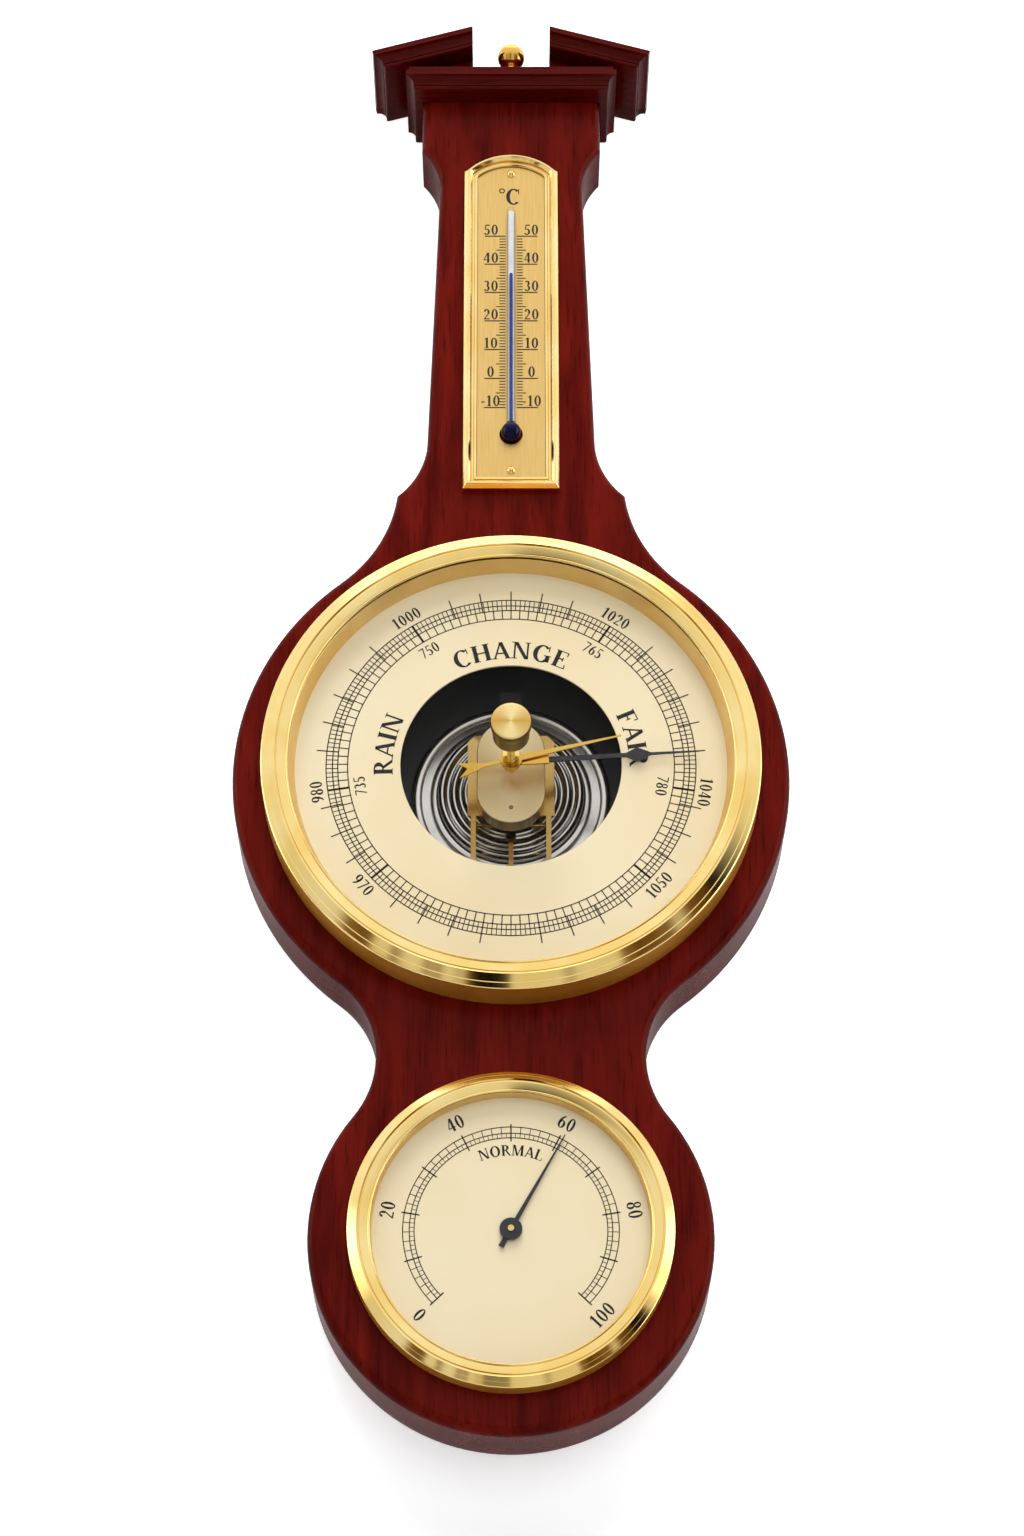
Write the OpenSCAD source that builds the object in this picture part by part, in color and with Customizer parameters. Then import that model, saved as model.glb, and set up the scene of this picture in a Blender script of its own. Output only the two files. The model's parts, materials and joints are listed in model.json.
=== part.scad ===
// Banjo barometer for a wall: a wooden case that carries an open-dial aneroid barometer, a hygrometer
// and a spirit thermometer.
// Every piece is drawn lying face up on a bench: x to the right, y up the case from the main dial,
// z out from the wall. hang() then stands it on the wall, with the origin at the hanging keyhole.

/* [Case] */
// Thickness of the case board
case_t = 20; // [18:0.5:26]
// Radius of the large round lobe
lobe_r = 74.2; // [72:0.1:78]
// Radius of the small round lobe at the foot
foot_r = 51.2; // [48:0.1:55]
// Distance between the two dial centres
dial_gap = 127.3; // [124:0.1:134]
// Radius of the waist between the lobes
waist_r = 26; // [22:0.5:32]
// Radius of the hollow shoulder above the large lobe
shoulder_r = 41.5; // [39:0.5:46]
// Height of the shoulder's centre above the top of the large lobe
shoulder_rise = 15.8; // [13:0.2:18]
// Radius of the flare at the foot of the neck
flare_r = 24; // [21:0.5:25]
// Height at which the flare runs into the neck
flare_rise = 103; // [101:0.5:105]
// Width of the neck at its foot
neck_low_w = 46.6; // [44:0.2:49]
// Width of the neck below the ears
neck_top_w = 41; // [39:0.2:44]
// Radius of the hollow under each ear
ear_r = 20; // [18:0.5:24]
// Distance from the cornice down to the start of the ears
ear_fall = 29.2; // [26:0.2:33]
// Width of the head under the cornice
head_w = 51.6; // [49:0.2:55]
// Width of the softened front edge
edge_w = 2.8; // [1:0.1:4]

/* [Hanging keyhole] */
// Height of the keyhole above the main dial
hang_rise = 150; // [130:1:165]
// Diameter of the hole that the screw head enters
key_d = 10; // [9:0.5:12]
// Depth of the keyhole
key_depth = 10; // [8:0.5:12]
// Width of the slot for the screw's shank
key_slot_w = 4; // [3:0.1:4.5]
// Width of the undercut for the screw's head
key_under_w = 6.6; // [5.5:0.1:6.8]
// Length of the slot above the hole
key_slot_l = 10; // [8:0.5:14]
// Thickness of the wood that the screw's head pulls on
key_lip = 3; // [2:0.5:4]

/* [Cornice and pediment] */
// Height of the underside of the cornice above the main dial
cornice_rise = 215.2; // [212:0.2:220]
// Height of the moulding
mould_h = 5.2; // [4.8:0.1:6.5]
// Projection of the moulding
mould_out = 4.1; // [3.9:0.1:5]
// Height of the flat band along the top of the moulding
band_h = 1.6; // [1.2:0.1:1.8]
// Height of the bead along the foot of the moulding
bead_h = 1.3; // [1:0.1:1.5]
// Distance from the case front to the foot of the cornice moulding
cornice_reach = 4.9; // [3:0.1:7]
// Width of the cornice soffit at each side
cornice_side = 0.6; // [0.4:0.1:1.2]
// Height of the board on top of the cornice
plinth_h = 3; // [2.4:0.1:4]
// Slope of the pediment
rake = 16.7; // [14:0.1:18]
// Distance from the middle to the inner end of each pediment half
gap_half = 11.2; // [9.5:0.1:13]
// Distance from the middle to the outer end of each pediment half, without its moulding
rake_half = 35; // [34:0.1:38]
// Height of the pediment's outer lower corner above the cornice
rake_lift = 2.8; // [2.4:0.1:3]
// Diameter of the finial's ball
ball_d = 8; // [7:0.1:9]
// Height of the ball's centre above the board it stands on
ball_rise = 8.4; // [7:0.1:10]

/* [Thermometer] */
// Width of the frame
frame_w = 26.8; // [26:0.1:29]
// Length of the frame, with its arch
frame_l = 110.5; // [106:0.5:116]
// Rise of the frame's arch
arch_rise = 5.9; // [4.5:0.1:7]
// Height of the frame
frame_h = 3.2; // [2.8:0.1:3.8]
// Width of the frame's moulded border
border_w = 2.7; // [2.4:0.1:3]
// Width of the step inside the border
step_w = 1.1; // [0.8:0.1:1.4]
// Thickness of the scale plate
plate_t = 1.2; // [1:0.1:1.4]
// Diameter of the glass tube
tube_d = 2.6; // [2.2:0.1:3]
// Diameter of the bulb
bulb_d = 5.5; // [4.8:0.1:6]
// Distance from the frame's foot to the bulb's centre
bulb_inset = 17.7; // [16:0.1:20]
// Distance from the bulb's centre to the tube's top
tube_l = 74.1; // [66:0.1:77]
// Distance from the bulb to the top of the spirit
spirit_l = 52; // [40:0.5:64]
// Diameter of the bore in the tube
tube_bore = 1; // [0.8:0.1:1.2]
// Wall of the bulb
bulb_wall = 0.5; // [0.4:0.05:0.6]
// Distance of each pin from the end of the scale plate
pin_inset = 2.4; // [2:0.1:5]
// Diameter of the pin heads
pin_head_d = 2.6; // [2.2:0.1:3]
// Diameter of the pin shanks
pin_d = 1.2; // [1:0.1:1.4]
// Length of the pin shanks
pin_l = 8; // [6:0.5:10]

/* [Barometer bezel and dial] */
// Diameter of the main bezel
bezel_d = 132; // [130:0.5:138]
// Height of the main bezel above the case
bezel_h = 12.4; // [12:0.1:14]
// Width of the main bezel's face
bezel_face = 7.3; // [6.8:0.1:8]
// Diameter of the barometer's can
can_d = 112; // [108:0.5:114]
// Gap between the can's back and the wall
can_inset = 1.2; // [1:0.1:1.6]
// Height of the main dial above the case
dial_rise = 4.2; // [3.6:0.1:4.6]
// Thickness of the dials
dial_t = 0.6; // [0.4:0.1:0.8]
// Diameter of the opening in the main dial
opening_d = 58.6; // [56:0.2:60]
// Thickness of the main glass
glass_t = 1.5; // [1.2:0.1:1.8]

/* [Aneroid movement] */
// Diameter of the movement's base
base_d = 54; // [52:0.2:55]
// Diameter of the capsule
capsule_d = 43.6; // [42:0.2:44]
// Height of the capsule
capsule_h = 4.2; // [3.8:0.1:4.3]
// Depth of the capsule's corrugations
wave_h = 0.9; // [0.6:0.1:1.1]
// Number of corrugations
wave_n = 5; // [4:1:6]
// Height of the yoke above the movement's base
yoke_rise = 11; // [10.8:0.1:11.4]
// Thickness of the yoke's sheet
yoke_t = 1; // [0.8:0.1:1.2]
// Width of the yoke
yoke_w = 23.2; // [22:0.2:24]
// Width of the gear cover
cover_w = 18; // [17.6:0.1:18.6]
// Length of the gear cover
cover_l = 30; // [29.6:0.1:31]
// Height of the gear cover
cover_h = 5.5; // [5.2:0.1:5.8]
// Tooth module of the sector and pinion
gear_m = 0.3; // [0.29:0.005:0.31]
// Teeth of the pinion
pinion_n = 10; // [10:1:10]
// Teeth of a full circle of the sector
sector_n = 60; // [60:1:60]
// Diameter of the hand's arbor
arbor_d = 1.4; // [1.2:0.05:1.5]
// Diameter of the sector's staff and the lever's shaft
staff_d = 1.2; // [1:0.05:1.3]
// Number of turns in the hairspring
spring_n = 4; // [3:1:5]

/* [Hands and setting knob] */
// Angle of the pressure hand from the top of the dial
pressure_angle = 86.4; // [-130:0.1:130]
// Length of the pressure hand
pressure_l = 50; // [44:0.5:52]
// Angle of the set hand from the top of the dial
set_angle = 76.5; // [-180:0.5:180]
// Length of the set hand
set_l = 30; // [24:0.5:36]
// Length of the set hand's tail
set_tail = 14.5; // [10:0.5:18]
// Diameter of the set hand's hub
hub_d = 5.9; // [5:0.1:7]
// Diameter of the setting knob
knob_d = 10.5; // [9:0.1:12]
// Thickness of the setting knob's cap
cap_h = 3.2; // [2.4:0.1:4]
// Thickness of the setting knob's skirt
skirt_h = 2.8; // [2:0.1:4]
// Distance from the bezel's front to the knob's face
knob_reach = 19; // [15:0.5:22]
// Diameter of the knob's stem
stem_d = 2; // [1.8:0.1:2.6]

/* [Hygrometer] */
// Diameter of the hygrometer's bezel
hygro_d = 82; // [80:0.5:86]
// Height of the hygrometer's bezel above the case
hygro_h = 6.9; // [6.6:0.1:8]
// Width of the hygrometer bezel's face
hygro_face = 5.8; // [5.4:0.1:6.4]
// Diameter of the hygrometer's can
hygro_can_d = 66; // [62:0.5:67]
// Height of the hygrometer's dial above the case
hygro_rise = 2; // [1.6:0.1:2.3]
// Thickness of the hygrometer's glass
hygro_glass_t = 1.2; // [1:0.1:1.4]
// Angle of the hygrometer's hand from the top of the dial
humidity_angle = 28.9; // [-134:0.1:134]
// Length of the hygrometer's hand
humidity_l = 28.3; // [24:0.1:31]
// Length of the hand's tail
humidity_tail = 5.2; // [4:0.1:7]
// Width of the humidity coil's strip
coil_w = 4; // [3:0.1:5]
// Outer diameter of the humidity coil
coil_d = 24; // [20:0.2:28]
// Number of turns in the humidity coil
coil_n = 5; // [4:1:6]

/* [Clearances] */
// Running clearance of shafts, on the radius
run_gap = 0.05; // [0.03:0.01:0.08]
// Seating clearance of fixed pieces, on the radius
seat_gap = 0.1; // [0.05:0.01:0.15]
// Clearance between a can and its hole in the case, on the radius
hole_gap = 0.5; // [0.3:0.1:0.8]
// Clearance of moving pieces
move_gap = 0.3; // [0.2:0.05:0.35]

/* [Hidden] */
$fn = 96;
cut = 1;

mahogany = "#5a1712";
brass = "#d9ab3c";
satin_brass = "#d8b765";
nickel = "#c9cbcc";
black = "#1d1d1f";
cream = "#efdfb4";
clear = "#dfe9ec";
spirit_blue = "#141d5c";

// Outline of the case, worked out from its arcs
waist_y = (pow(foot_r + waist_r, 2) - pow(lobe_r + waist_r, 2) - pow(dial_gap, 2)) / (2 * dial_gap);
waist_x = sqrt(pow(lobe_r + waist_r, 2) - pow(waist_y, 2));
waist_lobe_a = atan2(waist_y, waist_x);
waist_foot_a = atan2(waist_y + dial_gap, waist_x);
shoulder_y = lobe_r + shoulder_rise;
shoulder_c = [sqrt(pow(lobe_r + shoulder_r, 2) - pow(shoulder_y, 2)), shoulder_y];
shoulder_a = atan2(shoulder_c.y, shoulder_c.x);
flare_c = [neck_low_w / 2 + flare_r, flare_rise];
cusp = meet(shoulder_c, shoulder_r, flare_c, flare_r);
cusp_shoulder_a = bearing(cusp - shoulder_c);
cusp_flare_a = bearing(cusp - flare_c);
ear_rise = cornice_rise - ear_fall;
ear_c = [neck_top_w / 2 + ear_r, ear_rise];
ear_tip = [head_w / 2, ear_rise + sqrt(pow(ear_r, 2) - pow(ear_c.x - head_w / 2, 2))];
ear_a = bearing(ear_tip - ear_c);
neck_foot = [neck_low_w / 2, flare_rise];
neck_top = [neck_top_w / 2, ear_rise];
case_top = cornice_rise + mould_h;
edge_step = 0.05;
edge_lap = 4;

// Cornice and pediment
cornice_half = head_w / 2 + cornice_side;
cornice_front_z = case_t + cornice_reach;
plinth_inset = 0.7;
plinth_half = cornice_half + mould_out - plinth_inset;
plinth_top = case_top + plinth_h;
plinth_front_z = cornice_front_z + mould_out / 3;
tympanum_z = case_t;
rake_foot = [rake_half, case_top + rake_lift];
rake_l = (rake_half - gap_half) / cos(rake);
finial_z = case_t - 1;
collar_h = 1.2;
spigot_l = plinth_h - 0.4;
spigot_d = 2.4;

// Thermometer
arch_r = (pow(frame_w / 2, 2) + pow(arch_rise, 2)) / (2 * arch_rise);
frame_low = (bezel_d / 2 + cornice_rise - frame_l) / 2 - 0.2;
frame_high = frame_low + frame_l - arch_rise;
arch_y = frame_high + arch_rise - arch_r;
bulb_rise = frame_low + bulb_inset;
opening_inset = border_w + step_w;
tube_z = case_t + plate_t + seat_gap + tube_d / 2;
pin_ys = [frame_low + opening_inset + pin_inset, frame_low + frame_l - opening_inset - pin_inset];
pocket_d = bulb_d + 2;
pocket_depth = 1.5;

// Barometer
bezel_r = bezel_d / 2;
sight_r = bezel_r - bezel_face;
bezel_top = case_t + bezel_h;
sheet_t = 0.8;
web_t = 1.1;
bezel_wall = 1.4;
flange_r = bezel_r - bezel_wall - 1;
glass_r = bezel_r - bezel_wall - 0.4;
glass_top = bezel_top - web_t - seat_gap;
glass_z = glass_top - glass_t;
dial_z = case_t + dial_rise;
dial_top = dial_z + dial_t;
can_bottom = can_inset + sheet_t;
base_t = 1;
base_top = can_bottom + base_t;
base_rim_h = 1;
rim_gap = 2.2;
rim_in = capsule_d / 2 + rim_gap;
capsule_top = base_top + capsule_h;
post_d = 3;
post_h = 1;
yoke_z = base_top + yoke_rise;
yoke_top = yoke_z + yoke_t;
cover_top = yoke_top + cover_h;
cover_t = 0.8;

// Movement: the sector turns the pinion, the lever's finger lifts the sector's tail
pinion_r = gear_m * pinion_n / 2;
sector_r = gear_m * sector_n / 2;
sector_y = -(pinion_r + sector_r);
gear_ratio = sector_n / pinion_n;
sector_swing = 22;
sector_angle = -pressure_angle / gear_ratio;
lever_angle = pressure_angle / gear_ratio / 2;
tooth_add = 0.9 * gear_m;
tooth_ded = 1.2 * gear_m;
tooth_w = 1 * gear_m;
sector_t = 1;
sector_z = yoke_top + 1.2;
pinion_z = sector_z - 0.5;
pinion_t = 2;
tail_w = 0.8;
finger_d = 0.8;
lever_drop = 3;
lever_z = yoke_z - lever_drop;
finger_arm = sector_z + sector_t / 2 - lever_z;
finger_x = finger_arm * tan(sector_swing / 2) / tan(sector_swing);
lever_y = sector_y - tail_w / 2 - finger_d / 2 - move_gap;
leg_w = 1.4;
leg_x = yoke_w / 2 - 1.6;
leg_r = (base_d / 2 + rim_in) / 2;
leg_y = -sqrt(pow(leg_r, 2) - pow(leg_x, 2));
leg_top_y = leg_r + yoke_t / 2;
leg_top_w = 6;
ear_t = 0.8;
ear_drop = lever_drop + staff_d;
spring_z = sector_z + sector_t + 1.1;
spring_h = 0.7;
spring_in = arbor_d / 2 + 0.7;
spring_out = spring_in + spring_n * 0.8;
spring_t = 0.16;
leaf_w = 2.6;
leaf_t = 0.8;

// Hands on the main axis, from the dial outwards
arbor_top = glass_z - 2.4;
hand_t = 0.4;
pressure_z = arbor_top - 1.1;
set_z = arbor_top + move_gap;
hub_h = 1.3;
bush_flange = 0.5;
bush_wall = 0.6;
bush_lip = 0.5;
bush_r = stem_d / 2 + run_gap + bush_wall;
knob_top = bezel_top + knob_reach;
groove_h = 0.6;
knob_low = knob_top - cap_h - groove_h - skirt_h;

// Hygrometer
hygro_r = hygro_d / 2;
hygro_sight_r = hygro_r - hygro_face;
hygro_top = case_t + hygro_h;
hygro_web = 0.7;
hygro_wall = 1.2;
hygro_flange_r = hygro_r - hygro_wall - 0.8;
hygro_glass_r = hygro_r - hygro_wall - 0.4;
hygro_glass_top = hygro_top - hygro_web - seat_gap;
hygro_glass_z = hygro_glass_top - hygro_glass_t;
hygro_dial_z = case_t + hygro_rise;
hygro_dial_top = hygro_dial_z + dial_t;
hygro_arbor_d = 1.6;
hygro_arbor_top = hygro_glass_z - 0.4;
hygro_hub_d = 5.7;
hygro_hub_z = hygro_dial_top + 0.5;
hygro_hub_h = 0.9;
strap_w = 7;
strap_t = 1;
strap_z = case_t - 4;
strap_l = hygro_can_d - 14;
coil_z = can_bottom + strap_t + 3;
coil_t = 0.5;
coil_in = hygro_arbor_d / 2 + 0.8;
coil_out = coil_d / 2;

// Small screws
screw_d = 2;
screw_head_d = 4;
wood_head_d = 3.2;
screw_head_h = 0.8;
slot_w = 0.6;
wood_screw_l = 9;
main_screw_r = can_d / 2 + sheet_t + wood_head_d / 2 + 1;
hygro_screw_r = hygro_can_d / 2 + sheet_t + wood_head_d / 2 + 0.5;
base_screw_r = base_d / 2 - 5;
adjust_d = 3;
adjust_head_d = 4.6;
adjust_proud = 0.4;
vent_d = 4;

function bearing(v) = (atan2(v.y, v.x) + 360) % 360;
function unit(v) = v / norm(v);
function polar(r, a) = r * [cos(a), sin(a)];
function flip(p) = [-p.x, p.y];
function reverse(v) = [for (i = [len(v) - 1:-1:0]) v[i]];

// Lower meeting point of two circles, seen from the first towards the second
function meet(c0, r0, c1, r1) =
    let (d = norm(c1 - c0), along = (r0 * r0 - r1 * r1 + d * d) / (2 * d), u = unit(c1 - c0))
    c0 + along * u + sqrt(r0 * r0 - along * along) * [-u.y, u.x];

// Points of a flat spiral strip, out along one side and back along the other
function spiral(r_in, r_out, turns, t, steps = 24) =
    let (n = turns * steps)
    concat(
        [for (i = [0:n]) polar(r_in + (r_out - r_in) * i / n - t / 2, 360 * i / steps)],
        [for (i = [n:-1:0]) polar(r_in + (r_out - r_in) * i / n + t / 2, 360 * i / steps)]
    );

module hang() rotate([90, 0, 0]) translate([0, -hang_rise, 0]) children();
module at_foot() translate([0, -dial_gap, 0]) children();
module both_sides() for (side = [0, 1]) mirror([side, 0, 0]) children();
module ring(r_out, r_in, h) difference() {
    cylinder(r = r_out, h = h);
    translate([0, 0, -cut]) cylinder(r = r_in, h = h + 2 * cut);
}

// Extrudes a flat shape drawn as (x, z) along y, up to y = high
module along_y(high, length) translate([0, high, 0]) rotate([90, 0, 0]) linear_extrude(length) children();
// Extrudes a flat shape drawn as (z, y) along x, both ways from the middle
module along_x(length) rotate([0, -90, 0]) linear_extrude(length, center = true) children();

module case_outline() {
    circle(lobe_r);
    translate([0, -dial_gap]) circle(foot_r);
    difference() {
        waist_pts = [polar(lobe_r, waist_lobe_a), polar(foot_r, waist_foot_a) - [0, dial_gap]];
        polygon([flip(waist_pts[0]), flip(waist_pts[1]), waist_pts[1], waist_pts[0]]);
        both_sides() translate([waist_x, waist_y]) circle(waist_r);
    }
    difference() {
        tangent = polar(lobe_r, shoulder_a);
        polygon([tangent, cusp, neck_foot, flip(neck_foot), flip(cusp), flip(tangent)]);
        both_sides() translate(shoulder_c) circle(shoulder_r);
        both_sides() translate(flare_c) circle(flare_r);
    }
    polygon([neck_foot, neck_top, flip(neck_top), flip(neck_foot)]);
    difference() {
        translate([-head_w / 2, ear_rise]) square([head_w, case_top - ear_rise]);
        both_sides() translate(ear_c) circle(ear_r);
    }
}

// Section of the waste taken off a front edge: the edge lies at u = 0, with wood at u < 0
module edge_waste(w) {
    lean = w / 3.5;
    difference() {
        translate([-w, case_t - w]) square([w + cut, w + cut]);
        translate([-w - lean, case_t - w - lean]) circle(norm([lean, w + lean]));
    }
}
module outer_edge(c, r, from, to) translate(c) rotate(from) rotate_extrude(angle = to - from)
    translate([r, 0]) edge_waste(edge_w);
// A hollow's cut is a hair finer and runs past its ends, so that no two cuts share a face
module hollow_edge(c, r, from, to) translate(c) rotate(from - edge_lap)
    rotate_extrude(angle = to - from + 2 * edge_lap)
        translate([r, 0]) mirror([1, 0]) edge_waste(edge_w - edge_step);
module straight_edge(from, to) translate(from) rotate(bearing(to - from) - 90)
    along_y(norm(to - from), norm(to - from)) edge_waste(edge_w);

module keyhole() translate([0, hang_rise, -cut]) {
    cylinder(d = key_d, h = key_depth + cut);
    translate([-key_slot_w / 2, 0, 0]) cube([key_slot_w, key_slot_l, key_depth + cut]);
    translate([0, key_slot_l, 0]) cylinder(d = key_slot_w, h = key_depth + cut);
    translate([0, 0, key_lip + cut]) {
        translate([-key_under_w / 2, 0, 0]) cube([key_under_w, key_slot_l, key_depth - key_lip]);
        translate([0, key_slot_l, 0]) cylinder(d = key_under_w, h = key_depth - key_lip);
    }
}

module can_screw_places(r) for (a = [30, 150, 270]) rotate(a) translate([r, 0, 0]) children();
module wood_screw_hole() translate([0, 0, case_t - wood_screw_l])
    cylinder(d = screw_d + run_gap, h = wood_screw_l + cut);

module case_board() color(mahogany) hang() difference() {
    linear_extrude(case_t) case_outline();
    both_sides() outer_edge([0, 0], lobe_r, waist_lobe_a, shoulder_a);
    both_sides() hollow_edge([waist_x, waist_y], waist_r, waist_lobe_a + 180, waist_foot_a + 180);
    both_sides() hollow_edge(shoulder_c, shoulder_r, cusp_shoulder_a, shoulder_a + 180);
    both_sides() hollow_edge(flare_c, flare_r, 180, cusp_flare_a);
    both_sides() straight_edge(neck_foot, neck_top);
    both_sides() hollow_edge(ear_c, ear_r, ear_a, 180);
    outer_edge([0, -dial_gap], foot_r, 180 - waist_foot_a, 360 + waist_foot_a);
    translate([0, 0, -cut]) cylinder(d = can_d + 2 * hole_gap, h = case_t + 2 * cut);
    at_foot() translate([0, 0, -cut]) cylinder(d = hygro_can_d + 2 * hole_gap, h = case_t + 2 * cut);
    keyhole();
    translate([0, bulb_rise, case_t - pocket_depth]) cylinder(d = pocket_d, h = pocket_depth + cut);
    for (y = pin_ys) translate([0, y, case_t + plate_t - pin_l - seat_gap])
        cylinder(d = pin_d + run_gap, h = pin_l + cut);
    can_screw_places(main_screw_r) wood_screw_hole();
    at_foot() can_screw_places(hygro_screw_r) wood_screw_hole();
}

// Section of the moulding: flat band, hollow and bead, from the face that carries it
module moulding() {
    cove_r = mould_h - band_h - bead_h;
    bead_out = mould_out - cove_r - 0.5;
    difference() {
        square([mould_out, mould_h]);
        translate([bead_out, -cut]) square([mould_out, bead_h + cut]);
        translate([mould_out, bead_h]) circle(cove_r);
    }
    translate([bead_out, bead_h / 2]) circle(bead_h / 2);
}

module cornice_front() color(mahogany) hang() translate([0, cornice_rise, 0]) intersection() {
    translate([0, 0, cornice_front_z]) along_x(2 * (cornice_half + mould_out)) {
        moulding();
        translate([-cornice_reach, 0]) square([cornice_reach, mould_h]);
    }
    along_y(mould_h + cut, mould_h + 2 * cut) polygon([
        [-cornice_half, case_t], [cornice_half, case_t], [cornice_half, cornice_front_z],
        [cornice_half + 2 * mould_out, cornice_front_z + 2 * mould_out],
        [-cornice_half - 2 * mould_out, cornice_front_z + 2 * mould_out], [-cornice_half, cornice_front_z]
    ]);
}

module cornice_return() hang() translate([0, cornice_rise, 0]) intersection() {
    translate([cornice_half, 0, 0]) linear_extrude(cornice_front_z + mould_out) {
        moulding();
        translate([-cornice_side, 0]) square([cornice_side, mould_h]);
    }
    along_y(mould_h + cut, mould_h + 2 * cut) polygon([
        [head_w / 2, 0], [cornice_half + 2 * mould_out, 0],
        [cornice_half + 2 * mould_out, cornice_front_z + 2 * mould_out],
        [cornice_half, cornice_front_z], [cornice_half, case_t], [head_w / 2, case_t]
    ]);
}
module cornice_left() color(mahogany) mirror([1, 0, 0]) cornice_return();
module cornice_right() color(mahogany) cornice_return();

module pediment_plinth() color(mahogany) hang() difference() {
    translate([-plinth_half, case_top, 0]) cube([2 * plinth_half, plinth_h, plinth_front_z]);
    translate([0, plinth_top - spigot_l, finial_z]) rotate([-90, 0, 0])
        cylinder(d = spigot_d + run_gap, h = spigot_l + cut);
}

// Places a pediment half: x runs down the slope from its upper end, y stands square to the slope
module on_rake() translate(rake_foot) rotate(-rake) translate([-rake_l, 0, 0]) children();
module inner_cut() translate([-gap_half * 3, 0, -cut]) cube([gap_half * 4, 2 * case_top, 3 * case_t]);

module tympanum() hang() difference() {
    translate([gap_half, plinth_top, 0]) cube([plinth_half - gap_half, 2 * mould_h, tympanum_z]);
    on_rake() translate([-rake_l, 0, -cut]) cube([3 * rake_l, 4 * mould_h, tympanum_z + 2 * cut]);
}
module tympanum_left() color(mahogany) mirror([1, 0, 0]) tympanum();
module tympanum_right() color(mahogany) tympanum();

module pediment_half() hang() difference() {
    on_rake() intersection() {
        translate([0, 0, cornice_front_z]) along_x(4 * rake_l) {
            moulding();
            translate([-cornice_front_z, 0]) square([cornice_front_z, mould_h]);
        }
        along_y(mould_h + cut, mould_h + 2 * cut) polygon([
            [-mould_h, 0], [rake_l, 0], [rake_l, cornice_front_z],
            [rake_l + 2 * mould_out, cornice_front_z + 2 * mould_out],
            [-mould_h, cornice_front_z + 2 * mould_out]
        ]);
    }
    inner_cut();
}
module pediment_left() color(mahogany) mirror([1, 0, 0]) pediment_half();
module pediment_right() color(mahogany) pediment_half();

module pediment_return() hang() on_rake() intersection() {
    translate([rake_l, 0, 0]) linear_extrude(cornice_front_z + mould_out) moulding();
    along_y(mould_h + cut, mould_h + 2 * cut) polygon([
        [rake_l, 0], [rake_l + 2 * mould_out, 0],
        [rake_l + 2 * mould_out, cornice_front_z + 2 * mould_out], [rake_l, cornice_front_z]
    ]);
}
module pediment_left_return() color(mahogany) mirror([1, 0, 0]) pediment_return();
module pediment_right_return() color(mahogany) pediment_return();

module finial() color(brass) hang() translate([0, plinth_top, finial_z]) rotate([-90, 0, 0]) {
    neck_d = ball_d * 0.36;
    translate([0, 0, -spigot_l + seat_gap]) cylinder(d = spigot_d, h = spigot_l);
    cylinder(d = ball_d * 0.8, h = collar_h);
    cylinder(d = neck_d, h = ball_rise - ball_d / 4);
    translate([0, 0, ball_rise]) sphere(d = ball_d);
}

// Solid with the thermometer frame's outline, drawn in by inset0 at z0 and inset1 at z1. Two of the three shapes
// that meet here run past both ends by different lengths, so that no two end faces lie in one plane
module arched(inset0, inset1, z0, z1) {
    half0 = frame_w / 2 - inset0;
    half1 = frame_w / 2 - inset1;
    reach = 2 * frame_high;
    past = (z1 - z0) / 8;
    lean = (inset1 - inset0) / 8;
    intersection() {
        along_y(reach, 2 * reach) polygon([[-half0, z0], [half0, z0], [half1, z1], [-half1, z1]]);
        along_x(2 * frame_w) polygon([
            [z0 - past, frame_low + inset0 - lean], [z1 + past, frame_low + inset1 + lean],
            [z1 + past, reach], [z0 - past, reach]
        ]);
        union() {
            translate([0, arch_y, z0 - 2 * past])
                cylinder(r1 = arch_r - inset0 + 2 * lean, r2 = arch_r - inset1 - 2 * lean, h = z1 - z0 + 4 * past);
            translate([-frame_w, frame_low - frame_w, z0 - 3 * past])
                cube([2 * frame_w, arch_y - frame_low + frame_w, z1 - z0 + 6 * past]);
        }
    }
}

// Border with a sloping outer edge, an inner slope down to a step, and the opening for the plate
module thermometer_frame() color(brass) hang() difference() {
    top = case_t + frame_h;
    lip = 0.375 * frame_h;
    sink = 0.3125 * frame_h;
    step = 0.125 * frame_h;
    outer = border_w / 3 / lip;
    inner = 0.45 * border_w / sink;
    intersection() {
        arched(0, 0, case_t, top);
        arched(-outer * (frame_h - lip + step), border_w / 3 + outer * step, case_t - step, top + step);
    }
    arched(opening_inset, opening_inset, case_t - cut, top + 3 * step);
    arched(border_w, border_w, top - sink - step, top + 2 * step);
    arched(border_w + inner * step / 2, 0.55 * border_w - inner * step, top - sink - step / 2, top + step);
}

module thermometer_plate() color(satin_brass) hang() difference() {
    arched(opening_inset + seat_gap, opening_inset + seat_gap, case_t, case_t + plate_t);
    translate([0, bulb_rise, 0]) cylinder(d = pocket_d - 1, h = 2 * case_t);
    for (y = pin_ys) translate([0, y, 0]) cylinder(d = pin_d + run_gap, h = 2 * case_t);
}

// Lays a shape drawn up the z axis along the tube's axis, from the bulb's centre
module on_tube() translate([0, bulb_rise, tube_z]) rotate([-90, 0, 0]) children();

module thermometer_tube() color(clear) hang() on_tube() difference() {
    union() {
        sphere(d = bulb_d);
        cylinder(d = tube_d, h = tube_l - tube_d / 2);
        translate([0, 0, tube_l - tube_d / 2]) sphere(d = tube_d);
    }
    sphere(d = bulb_d - 2 * bulb_wall);
    cylinder(d = tube_bore, h = tube_l - tube_d);
}

module thermometer_spirit() color(spirit_blue) hang() on_tube() {
    sphere(d = bulb_d - 2 * bulb_wall - 2 * run_gap);
    cylinder(d = tube_bore - 2 * run_gap, h = spirit_l);
}

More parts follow.
